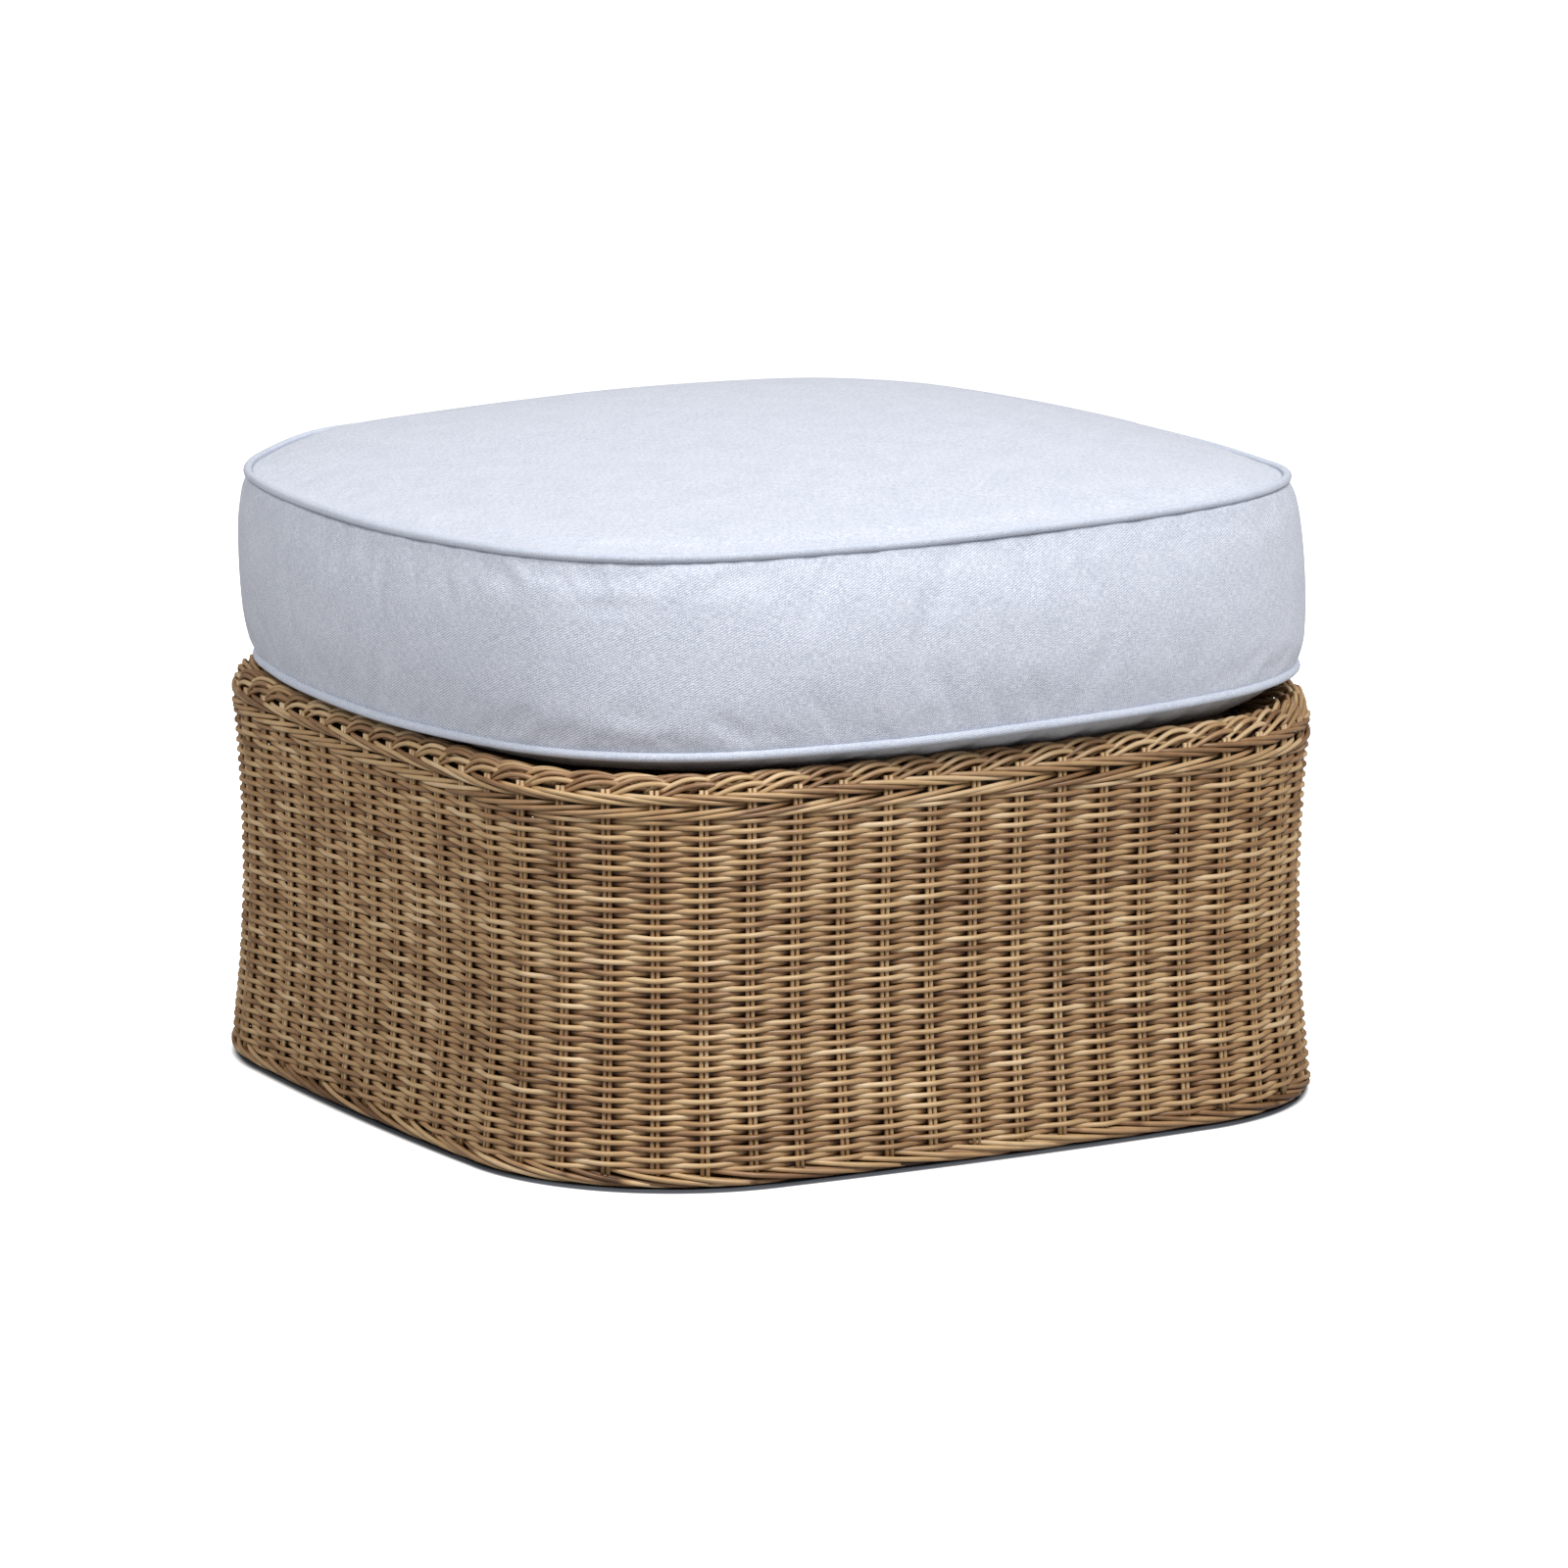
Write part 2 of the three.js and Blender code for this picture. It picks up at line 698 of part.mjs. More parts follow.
function makeZipTapes() {
  const lower = bandSection(lowerTapeTop - zipTapeHeight, lowerTapeTop, 2, tapeInset, zipTapeThickness);
  const upper = bandSection(upperTapeBottom, upperTapeBottom + zipTapeHeight, 2, tapeInset, zipTapeThickness);
  return [
    part('zip_tape_lower', sweep(zipPlaces(), () => lower, false), zipMaterial),
    part('zip_tape_upper', sweep(zipPlaces(), () => upper, false), zipMaterial),
  ];
}

function blockSection(bottom, top, back, face) {
  return [[back, bottom], [face, bottom], [face, top], [back, top]];
}

function makeZipTeeth() {
  const teethEnd = zipEnd - zipStopLength - seamGap;
  const places = placesFromBack(-teethEnd, teethEnd, backStripSteps);
  const section = blockSection(teethBottom, teethTop, teethBack, teethFace);
  return part('zip_teeth', sweep(places, () => section, false), zipMaterial);
}

function makeZipStops() {
  const section = blockSection(teethBottom, teethTop, teethBack, teethFace + zipStopRise);
  const spans = [
    { name: 'zip_stop_closed', from: zipEnd - zipStopLength, to: zipEnd },
    { name: 'zip_stop_open', from: -zipEnd, to: zipStopLength - zipEnd },
  ];
  return spans.map(({ name, from, to }) => (
    part(name, sweep(placesFromBack(from, to, 1), () => section, false), zipMaterial)
  ));
}

// Slider and pull: built facing +Y with the teeth's face at zero, then set on the back of the cushion
const sliderReach = zipEnd - zipStopLength - sliderStopGap - sliderLength / 2;
const plateBack = sliderGap;
const plateFace = plateBack + sliderPlate;
const bailOut = plateFace + bailStandoff;

function blockAt(lengthX, lengthY, lengthZ, x, y, z) {
  const block = new THREE.BoxGeometry(lengthX, lengthY, lengthZ);
  block.translate(x, y, z);
  return block;
}

function makeSlider() {
  const flangeDepth = plateFace + zipTeethDepth - sliderGap;
  const flangeOut = plateFace - flangeDepth / 2;
  const flangeUp = sliderHeight / 2 - sliderFlange / 2;
  const legHeight = bailOut + bailBarDiameter / 2 - plateBack;
  const legOut = plateBack + legHeight / 2;
  const bar = new THREE.CylinderGeometry(bailBarDiameter / 2, bailBarDiameter / 2, bailSpan, roundSides);
  bar.rotateZ(Math.PI / 2);
  bar.translate(0, bailOut, 0);
  const pieces = [
    blockAt(sliderLength, sliderPlate, sliderHeight, 0, plateBack + sliderPlate / 2, 0),
    blockAt(sliderLength, flangeDepth, sliderFlange, 0, flangeOut, flangeUp),
    blockAt(sliderLength, flangeDepth, sliderFlange, 0, flangeOut, -flangeUp),
    blockAt(bailLeg, legHeight, bailBarDiameter * 2, -bailSpan / 2, legOut, 0),
    blockAt(bailLeg, legHeight, bailBarDiameter * 2, bailSpan / 2, legOut, 0),
    bar,
  ];
  return part('zip_slider', join(pieces), zipMaterial);
}

function makePull() {
  const eyeRadius = pullEyeDiameter / 2;
  const half = pullThickness / 2;
  const meet = Math.asin(half / eyeRadius);
  const side = new THREE.Shape();
  side.absarc(0, 0, eyeRadius, -Math.PI / 2 + meet, 3 * Math.PI / 2 - meet, false);
  side.lineTo(-half, -pullLength);
  side.lineTo(half, -pullLength);
  side.closePath();
  const hole = new THREE.Path();
  hole.absarc(0, 0, pullHoleDiameter / 2, 0, Math.PI * 2, true);
  side.holes.push(hole);
  const settings = { depth: pullWidth, bevelEnabled: false, curveSegments: roundSides / 2 };
  const blade = new THREE.ExtrudeGeometry(side, settings);
  blade.translate(0, 0, -pullWidth / 2);
  blade.applyMatrix4(new THREE.Matrix4().makeBasis(
    new THREE.Vector3(0, 1, 0), new THREE.Vector3(0, 0, 1), new THREE.Vector3(1, 0, 0),
  ));
  blade.translate(0, bailOut, 0);
  return part('zip_pull', blade, zipMaterial);
}

function makeSliderGroup() {
  const group = new THREE.Group();
  const place = placeFromBack(sliderReach);
  const seat = moved(place, teethFace);
  group.add(makeSlider(), makePull());
  group.rotation.z = Math.atan2(place.outY, place.outX) - Math.PI / 2;
  group.position.set(seat.x, seat.y, seamMiddle);
  return group;
}

const base = new THREE.Group();
base.add(makeTopRing(), makeBottomRing(), ...makeUprights(), ...makeDeckBars(), makeDeckPanel());
base.add(makeSideWeave(), makeTopBraid(), makeRolledRim(), makeFootBorder(), ...makeGlides());

const cushion = new THREE.Group();
cushion.add(makeFoamCore(), makeUpperWrap(), makeLowerWrap(), makeTopPanel(), makeBottomPanel());
cushion.add(makeBoxing(), ...makeBackStrips());
cushion.add(makePiping('piping_top', topSeam), makePiping('piping_bottom', bottomSeam));
cushion.add(...makeZipTapes(), makeZipTeeth(), ...makeZipStops(), makeSliderGroup());

const ottoman = new THREE.Group();
ottoman.add(base, cushion);

export default ottoman;
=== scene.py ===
import json
import math

import bpy
import numpy as np
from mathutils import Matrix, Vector

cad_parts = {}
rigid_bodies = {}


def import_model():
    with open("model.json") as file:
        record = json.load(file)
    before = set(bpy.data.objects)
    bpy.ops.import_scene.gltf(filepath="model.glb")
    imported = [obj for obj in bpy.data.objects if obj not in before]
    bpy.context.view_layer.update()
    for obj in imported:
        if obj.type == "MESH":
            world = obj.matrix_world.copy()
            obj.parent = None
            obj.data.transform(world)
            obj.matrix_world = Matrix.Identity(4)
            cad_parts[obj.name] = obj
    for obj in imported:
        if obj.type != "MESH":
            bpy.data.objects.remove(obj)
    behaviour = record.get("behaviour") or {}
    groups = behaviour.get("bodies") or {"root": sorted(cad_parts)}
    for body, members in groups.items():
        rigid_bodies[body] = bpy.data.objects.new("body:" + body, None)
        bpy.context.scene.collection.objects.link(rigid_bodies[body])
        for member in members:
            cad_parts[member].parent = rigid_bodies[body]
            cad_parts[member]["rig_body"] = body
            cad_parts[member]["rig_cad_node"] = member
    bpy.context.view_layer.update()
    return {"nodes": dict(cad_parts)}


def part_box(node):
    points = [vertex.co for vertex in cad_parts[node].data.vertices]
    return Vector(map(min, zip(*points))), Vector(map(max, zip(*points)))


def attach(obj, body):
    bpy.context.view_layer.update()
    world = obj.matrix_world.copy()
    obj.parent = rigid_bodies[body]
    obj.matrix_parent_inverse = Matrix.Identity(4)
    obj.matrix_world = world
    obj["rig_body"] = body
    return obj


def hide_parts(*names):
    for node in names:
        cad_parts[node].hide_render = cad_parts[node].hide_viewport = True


# Outdoor ottoman: woven resin base and a loose piped cushion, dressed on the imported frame.
# Metres, +Z up, front towards -Y.

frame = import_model()
scene = bpy.context.scene
mm = 0.001
rng = np.random.default_rng(68)


def nodeSpan(name, axis):
    low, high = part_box(name)
    return low[axis], high[axis]


# Camera and lights

cameraSetup = {
    "azimuth": -29.45, "elevation": 10.75,  # degrees, from the photograph's edges
    "target": (0, 0, 0.2), "distance": 5.17, "lens": 180, "sensor": 36,
    "shift": (0.0121, -0.0116),
}
az = math.radians(cameraSetup["azimuth"])
el = math.radians(cameraSetup["elevation"])
back = Vector((math.sin(az) * math.cos(el), -math.cos(az) * math.cos(el), math.sin(el)))
bpy.ops.object.camera_add(location=Vector(cameraSetup["target"]) + back * cameraSetup["distance"])
camera = bpy.context.object
camera.rotation_euler = back.to_track_quat("Z", "Y").to_euler()
camera.data.lens = cameraSetup["lens"]
camera.data.sensor_width = cameraSetup["sensor"]
camera.data.shift_x, camera.data.shift_y = cameraSetup["shift"]
camera.data.clip_end = 60
scene.camera = camera

softboxes = {
    "key": {"place": (0.45, -2.55, 2.95), "size": 1.5, "power": 117},
    "left": {"place": (-2.55, -0.6, 2.75), "size": 1.6, "power": 67},
}
for name, box in softboxes.items():
    bpy.ops.object.light_add(type="AREA", location=box["place"])
    lamp = bpy.context.object
    lamp.name = name
    lamp.data.shape = "SQUARE"
    lamp.data.size = box["size"]
    lamp.data.energy = box["power"]
    aim = Vector(cameraSetup["target"]) - lamp.location
    lamp.rotation_euler = aim.to_track_quat("-Z", "Y").to_euler()

backdrop = {"seen": 1.05, "fill": 0.25}  # white behind the object, a softer fill on it
world = bpy.data.worlds.new("studio")
world.use_nodes = True
glow = world.node_tree.nodes["Background"]
rays = world.node_tree.nodes.new("ShaderNodeLightPath")
level = world.node_tree.nodes.new("ShaderNodeMapRange")
level.inputs["To Min"].default_value = backdrop["fill"]
level.inputs["To Max"].default_value = backdrop["seen"]
world.node_tree.links.new(rays.outputs["Is Camera Ray"], level.inputs["Value"])
world.node_tree.links.new(level.outputs[0], glow.inputs["Strength"])
glow.inputs["Color"].default_value = (1, 1, 1, 1)
scene.world = world
scene.view_settings.view_transform = "Standard"
print("camera and lights set")


# Small helpers

def deselectAll():
    if bpy.context.object and bpy.context.object.mode != "OBJECT":
        bpy.ops.object.mode_set(mode="OBJECT")
    bpy.ops.object.select_all(action="DESELECT")


def pick(thing):
    deselectAll()
    thing.select_set(True)
    bpy.context.view_layer.objects.active = thing
    return thing


def addModifier(thing, kind, **settings):
    pick(thing)
    modifier = thing.modifiers.new(kind.lower(), kind)
    for key, value in settings.items():
        setattr(modifier, key, value)
    bpy.ops.object.modifier_apply(modifier=modifier.name)
    return thing


def vertexPlaces(thing):
    places = np.empty(len(thing.data.vertices) * 3)
    thing.data.vertices.foreach_get("co", places)
    return places.reshape(-1, 3)


def placeVertices(thing, places):
    thing.data.vertices.foreach_set("co", places.ravel())
    thing.data.update()


def smoothed(knots, steps):
    knots = np.asarray(knots, float)  # a Catmull-Rom run through rows of knots
    ends = np.vstack([2 * knots[0] - knots[1], knots, 2 * knots[-1] - knots[-2]])
    t = (np.arange(steps) / steps)[:, None]
    parts = []
    for i in range(1, len(ends) - 2):
        a, b, c, d = ends[i - 1:i + 3]
        parts.append(0.5 * (2 * b + (c - a) * t + (2 * a - 5 * b + 4 * c - d) * t ** 2
                            + (3 * b - a - 3 * c + d) * t ** 3))
    return np.vstack(parts + [knots[-1:]])


# Outline of the base and of the cushion: four bowed sides and four corners

def makeOutline(half, cornerRadius, bow):
    centre = half - bow - cornerRadius
    bowRadius = (centre * centre + bow * bow) / (2 * bow)
    spread = math.asin(centre / bowRadius)
    arcs = []
    for side in range(4):
        facing = side * math.pi / 2
        reach = half - bowRadius - cornerRadius
        arcs.append((reach * math.cos(facing), reach * math.sin(facing),
                     bowRadius + cornerRadius, facing - spread, 2 * spread))
        cornerFacing = facing + math.pi / 4
        arcs.append((math.copysign(centre, math.cos(cornerFacing)),
                     math.copysign(centre, math.sin(cornerFacing)),
                     cornerRadius, facing + spread, math.pi / 2 - 2 * spread))
    arcs = np.array(arcs)
    ends = np.concatenate([[0], np.cumsum(arcs[:, 2] * arcs[:, 4])])
    return {"arcs": arcs, "ends": ends, "girth": ends[-1]}


def walk(outline, distance):
    distance = np.mod(distance, outline["girth"])  # places and outward directions round the outline
    number = np.clip(np.searchsorted(outline["ends"], distance, side="right") - 1, 0, 7)
    x, y, radius, start = outline["arcs"][number, :4].T
    angle = start + (distance - outline["ends"][number]) / radius
    out = np.stack([np.cos(angle), np.sin(angle)], -1)
    return np.stack([x, y], -1) + radius[..., None] * out, out


def runAlong(outline, distance, inset, height):
    place, out = walk(outline, np.asarray(distance, float))
    flat = place - out * np.asarray(inset)[..., None]
    return np.column_stack([flat, np.broadcast_to(height, len(flat))])


base = {
    "half": nodeSpan("foot_border", 0)[1], "cornerRadius": 149 * mm, "bow": 4.3 * mm, "stakes": 68,
    "wallInset": 2.5 * mm, "waistDepth": 4.5 * mm, "waistHeight": 125 * mm, "flare": 3.5 * mm,
    "foot": nodeSpan("side_weave", 2)[0], "top": nodeSpan("side_weave", 2)[1],
    "ridge": nodeSpan("top_braid", 2)[1],
}
baseOutline = makeOutline(base["half"], base["cornerRadius"], base["bow"])
pitch = baseOutline["girth"] / base["stakes"]


def wallInsetAt(height):
    height = np.asarray(height, float)  # deepest at the waist
    end = np.where(height > base["waistHeight"], base["top"], base["foot"])
    along = (height - base["waistHeight"]) / (end - base["waistHeight"])
    flare = base["flare"] * np.clip(1 - height / base["waistHeight"], 0, 1) ** 1.5
    return base["wallInset"] + base["waistDepth"] * (1 - np.minimum(1, along ** 2)) - flare


def stakeDistance(steps):
    return (np.asarray(steps, float) + 0.5) * pitch  # steps counts stakes from the first one


def meshFromRuns(name, runs, width, resolution, closed, turn=0.0, swell=None):
    curve = bpy.data.curves.new(name, "CURVE")
    curve.dimensions = "3D"
    curve.bevel_depth = width / 2
    curve.bevel_resolution = resolution
    curve.use_fill_caps = not closed
    for number, run in enumerate(runs):
        spline = curve.splines.new("POLY")
        spline.points.add(len(run) - 1)
        spline.points.foreach_set("co", np.column_stack([run, np.ones(len(run))]).ravel())
        spline.points.foreach_set("tilt", np.full(len(run), turn, np.float32))
        if swell:
            spline.points.foreach_set("radius", swell[number].astype(np.float32))
        spline.use_cyclic_u = closed
    thing = bpy.data.objects.new(name, curve)
    scene.collection.objects.link(thing)
    pick(thing)
    bpy.ops.object.convert(target="MESH")
    return bpy.context.object


# Strands: round resin, with a tone for each stretch

strand = {
    "width": 3.3 * mm, "rowWidth": 3.35 * mm, "caneWidth": 2.9 * mm, "caneGap": 3.5 * mm,
    "sides": 6, "turn": math.pi / 6,  # an edge of the six faces up
    "darkest": 0.25, "weld": 1e-6, "knotSteps": 3,
}


def layStrands(name, runs, width, tones, closed=False, swell=None):
    thing = meshFromRuns(name, runs, width, strand["sides"] // 2 - 2, closed, strand["turn"], swell)
    rings = []
    for tone in tones:
        if not closed:
            rings += [tone[-1:], tone[:1]]  # the two caps come first
        rings.append(tone)
    # ordinary tones start at 'darkest'; below it the ramp holds the painted shade taken off some strands' tones
    values = strand["darkest"] + (1 - strand["darkest"]) * np.concatenate(rings)
    values = np.repeat(values, strand["sides"]).astype(np.float32)
    attribute = thing.data.attributes.new("tone", "FLOAT", "POINT")
    attribute.data.foreach_set("value", values)
    pick(thing)
    bpy.ops.object.mode_set(mode="EDIT")
    bpy.ops.mesh.select_all(action="SELECT")
    bpy.ops.mesh.remove_doubles(threshold=strand["weld"])
    bpy.ops.object.mode_set(mode="OBJECT")
    bpy.ops.object.shade_smooth()
    return thing


def flatTones(runs, spread=1.0):
    return [np.full(len(run), 0.5 + (rng.random() - 0.5) * spread) for run in runs]


def dress(thing, body, slot, material, *nodes):
    thing.data.materials.clear()
    thing.data.materials.append(material)
    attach(thing, body)
    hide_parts(*nodes)


# Materials

def newMaterial(name):
    material = bpy.data.materials.new(name)
    material.use_nodes = True
    tree = material.node_tree
    return material, tree, tree.nodes["Principled BSDF"]


def newGroup(name, inputs, outputs):
    group = bpy.data.node_groups.new(name, "ShaderNodeTree")
    for label, kind, value in inputs:
        socket = group.interface.new_socket(label, in_out="INPUT", socket_type=kind)
        if value is not None:
            socket.default_value = value
    for label, kind in outputs:
        group.interface.new_socket(label, in_out="OUTPUT", socket_type=kind)
    enter = group.nodes.new("NodeGroupInput")
    leave = group.nodes.new("NodeGroupOutput")
    return group, enter, leave


def addNode(tree, kind, values=None, **settings):
    node = tree.nodes.new(kind)
    for key, value in settings.items():
        setattr(node, key, value)
    for key, value in (values or {}).items():
        node.inputs[key].default_value = value
    return node


def noiseOn(tree, vector, **values):
    node = addNode(tree, "ShaderNodeTexNoise", values)
    tree.links.new(vector, node.inputs["Vector"])
    return node.outputs["Fac"]


def mapRange(tree, value, limits, **settings):
    node = addNode(tree, "ShaderNodeMapRange", limits, **settings)
    tree.links.new(value, node.inputs["Value"])
    return node.outputs[0]


def mathNode(tree, operation, *values, **settings):
    node = addNode(tree, "ShaderNodeMath", operation=operation, **settings)
    for socket, value in zip(node.inputs, values):
        if isinstance(value, (int, float)):
            socket.default_value = value
        else:
            tree.links.new(value, socket)
    return node.outputs[0]


def addRamp(tree, stops):
    node = tree.nodes.new("ShaderNodeValToRGB")
    ramp = node.color_ramp
    while len(ramp.elements) < len(stops):
        ramp.elements.new(0.5)
    for element, (place, colour) in zip(ramp.elements, stops):
        element.position = place
        element.color = (*colour, 1)
    return node


resin = {
    "blotch": 55, "fine": 900,  # noise scales
    "streak": 0.36, "bump": 0.25, "depth": 0.2 * mm, "smoothest": 0.34, "roughest": 0.52, "specular": 0.7,
}


def makeGrainGroup():
    group, enter, leave = newGroup(
        "resinGrain",
        [("Vector", "NodeSocketVector", None), ("Tone", "NodeSocketFloat", 0.5),
         ("Streak", "NodeSocketFloat", resin["streak"])],
        [("Tone", "NodeSocketFloat"), ("Height", "NodeSocketFloat"), ("Roughness", "NodeSocketFloat")],
    )
    blotch = noiseOn(group, enter.outputs["Vector"], Scale=resin["blotch"], Detail=3, Roughness=0.6)
    fine = noiseOn(group, enter.outputs["Vector"], Scale=resin["fine"], Detail=2)
    streak = mathNode(group, "MULTIPLY", mathNode(group, "SUBTRACT", blotch, 0.5), enter.outputs["Streak"])
    tone = mathNode(group, "ADD", streak, enter.outputs["Tone"], use_clamp=True)
    rough = mapRange(group, fine, {"To Min": resin["smoothest"], "To Max": resin["roughest"]})
    group.links.new(tone, leave.inputs["Tone"])
    group.links.new(fine, leave.inputs["Height"])
    group.links.new(rough, leave.inputs["Roughness"])
    return group


def makeWickerMaterial(name, stops, grain):
    material, tree, shader = newMaterial(name)
    place = addNode(tree, "ShaderNodeTexCoord")
    tone = addNode(tree, "ShaderNodeAttribute", attribute_name="tone")
    mix = addNode(tree, "ShaderNodeGroup", node_tree=grain)
    mix.inputs["Streak"].default_value = resin["streak"]
    ramp = addRamp(tree, stops)
    bump = addNode(tree, "ShaderNodeBump", {"Strength": resin["bump"], "Distance": resin["depth"]})
    join = tree.links.new
    join(place.outputs["Object"], mix.inputs["Vector"])
    join(tone.outputs["Fac"], mix.inputs["Tone"])
    join(mix.outputs["Tone"], ramp.inputs["Fac"])
    join(mix.outputs["Height"], bump.inputs["Height"])
    join(ramp.outputs["Color"], shader.inputs["Base Color"])
    join(mix.outputs["Roughness"], shader.inputs["Roughness"])
    join(bump.outputs["Normal"], shader.inputs["Normal"])
    shader.inputs["Specular IOR Level"].default_value = resin["specular"]
    return material


resinGrain = makeGrainGroup()
# the stop at 0 is the near-black of the painted shade on the strands
wickerMaterial = makeWickerMaterial("honeyWicker", [
    (0.0, (0.038, 0.011, 0.001)), (0.25, (0.150, 0.066, 0.020)), (0.47, (0.305, 0.168, 0.076)),
    (0.62, (0.412, 0.248, 0.115)), (0.79, (0.535, 0.356, 0.178)), (1.0, (0.700, 0.520, 0.320)),
], resinGrain)
deckMaterial = makeWickerMaterial("deckWicker", [
    (0.0, (0.130, 0.075, 0.040)), (0.5, (0.300, 0.185, 0.105)), (1.0, (0.460, 0.310, 0.165)),
], resinGrain)


twill = {"slope": 27, "lineGap": 1.45 * mm, "stitch": 1.3 * mm, "contrast": 0.85}  # degrees above the weft
rib = {"slope": 90, "lineGap": 1.7 * mm, "stitch": 1.7 * mm, "contrast": 1.1}  # the underside's cloth
clothFinish = {"roughness": 0.88, "sheen": 0.25, "sheenRoughness": 0.5, "specular": 0.25, "bump": 0.6}
yarn = {
    "slubs": ((1500, 210, 1), (210, 1500, 1)),  # short ones along the weft, then along the warp
    "cloud": 38, "cloudDepth": 0.1, "dots": 0.35, "lineRaise": 0.7,
}


def makeClothGroup(name, cloth):
    group, enter, leave = newGroup(
        name,
        [("Vector", "NodeSocketVector", None), ("Light", "NodeSocketColor", (0.8, 0.83, 0.9, 1)),
         ("Shade", "NodeSocketColor", (0.5, 0.56, 0.68, 1)), ("Heather", "NodeSocketFloat", 0.5)],
        [("Color", "NodeSocketColor"), ("Height", "NodeSocketFloat")],
    )
    join = group.links.new
    threads = []
    for stretch in yarn["slubs"]:
        spread = addNode(group, "ShaderNodeMapping", {"Scale": stretch})
        join(enter.outputs["Vector"], spread.inputs["Vector"])
        threads.append(noiseOn(group, spread.outputs[0], Scale=1, Detail=2, Roughness=0.6))
    spot = mapRange(group, mathNode(group, "ADD", *threads), {"From Min": 0.8, "From Max": 1.2})
    cloud = noiseOn(group, enter.outputs["Vector"], Scale=yarn["cloud"], Detail=3, Roughness=0.62)
    cloudy = mapRange(group, cloud, {"From Min": 0.3, "From Max": 0.7,
                                     "To Min": -yarn["cloudDepth"], "To Max": yarn["cloudDepth"]})
    bands = []
    for turn, gap in ((90 - cloth["slope"], cloth["lineGap"]), (-cloth["slope"], cloth["stitch"])):
        turned = addNode(group, "ShaderNodeMapping", {"Rotation": (0, 0, math.radians(turn))})
        bandValues = {"Scale": math.pi / 10 / gap, "Distortion": 0.8, "Detail": 1, "Detail Scale": 0.6}
        band = addNode(group, "ShaderNodeTexWave", bandValues, wave_type="BANDS", bands_direction="X")
        join(enter.outputs["Vector"], turned.inputs["Vector"])
        join(turned.outputs[0], band.inputs["Vector"])
        bands.append(band.outputs["Fac"])
    stitched = mathNode(group, "MULTIPLY_ADD", bands[1], yarn["dots"], bands[0])  # lines, dotted along
    line = mapRange(group, stitched, {"From Max": 1 + yarn["dots"], "To Min": cloth["contrast"] / 2,
                                      "To Max": -cloth["contrast"] / 2})
    patchy = mathNode(group, "ADD", mathNode(group, "MULTIPLY", spot, enter.outputs["Heather"]), cloudy)
    blend = addNode(group, "ShaderNodeMix", data_type="RGBA")
    join(mathNode(group, "ADD", patchy, line, use_clamp=True), blend.inputs[0])
    join(enter.outputs["Light"], blend.inputs[6])
    join(enter.outputs["Shade"], blend.inputs[7])
    join(blend.outputs[2], leave.inputs["Color"])
    join(mathNode(group, "MULTIPLY_ADD", stitched, yarn["lineRaise"], spot), leave.inputs["Height"])
    return group


def makeClothMaterial(name, cloth, light, shade, heather, depth):
    material, tree, shader = newMaterial(name)
    layout = addNode(tree, "ShaderNodeUVMap", uv_map="clothMap")
    weave = addNode(tree, "ShaderNodeGroup", node_tree=cloth)
    weave.inputs["Light"].default_value = (*light, 1)
    weave.inputs["Shade"].default_value = (*shade, 1)
    weave.inputs["Heather"].default_value = heather
    bump = addNode(tree, "ShaderNodeBump", {"Strength": clothFinish["bump"], "Distance": depth})
    join = tree.links.new
    join(layout.outputs[0], weave.inputs["Vector"])
    join(weave.outputs["Color"], shader.inputs["Base Color"])
    join(weave.outputs["Height"], bump.inputs["Height"])
    join(bump.outputs["Normal"], shader.inputs["Normal"])
    shader.inputs["Roughness"].default_value = clothFinish["roughness"]
    shader.inputs["Sheen Weight"].default_value = clothFinish["sheen"]
    shader.inputs["Sheen Roughness"].default_value = clothFinish["sheenRoughness"]
    shader.inputs["Specular IOR Level"].default_value = clothFinish["specular"]
    return material


twillCloth = makeClothGroup("twillCloth", twill)
coverMaterial = makeClothMaterial(
    "paleBlueTwill", twillCloth,
    light=(0.77, 0.795, 0.89), shade=(0.43, 0.47, 0.565), heather=0.8, depth=0.4 * mm)
pipingMaterial = makeClothMaterial(
    "pipingTwill", twillCloth,
    light=(0.655, 0.69, 0.785), shade=(0.40, 0.45, 0.545), heather=0.65, depth=0.3 * mm)
undersideMaterial = makeClothMaterial(
    "ribbedGreyCloth", makeClothGroup("ribbedCloth", rib),
    light=(0.60, 0.62, 0.67), shade=(0.30, 0.32, 0.36), heather=0.6, depth=0.5 * mm)


plainFinish = {"cloudSize": 22, "roughSpread": 0.08, "bump": 0.5}


def makePlainMaterial(name, dark, light, roughness, scale, depth, metallic=0.0):
    material, tree, shader = newMaterial(name)
    place = addNode(tree, "ShaderNodeTexCoord").outputs["Object"]
    noise = noiseOn(tree, place, Scale=scale, Detail=4, Roughness=0.6)
    cloud = noiseOn(tree, place, Scale=scale / plainFinish["cloudSize"], Detail=2)
    ramp = addRamp(tree, [(0.3, dark), (0.7, light)])
    rough = mapRange(tree, noise, {"To Min": roughness - plainFinish["roughSpread"],
                                   "To Max": roughness + plainFinish["roughSpread"]})
    bump = addNode(tree, "ShaderNodeBump", {"Strength": plainFinish["bump"], "Distance": depth})
    join = tree.links.new
    join(cloud, ramp.inputs["Fac"])
    join(ramp.outputs["Color"], shader.inputs["Base Color"])
    join(rough, shader.inputs["Roughness"])
    join(noise, bump.inputs["Height"])
    join(bump.outputs["Normal"], shader.inputs["Normal"])
    shader.inputs["Metallic"].default_value = metallic
    return material


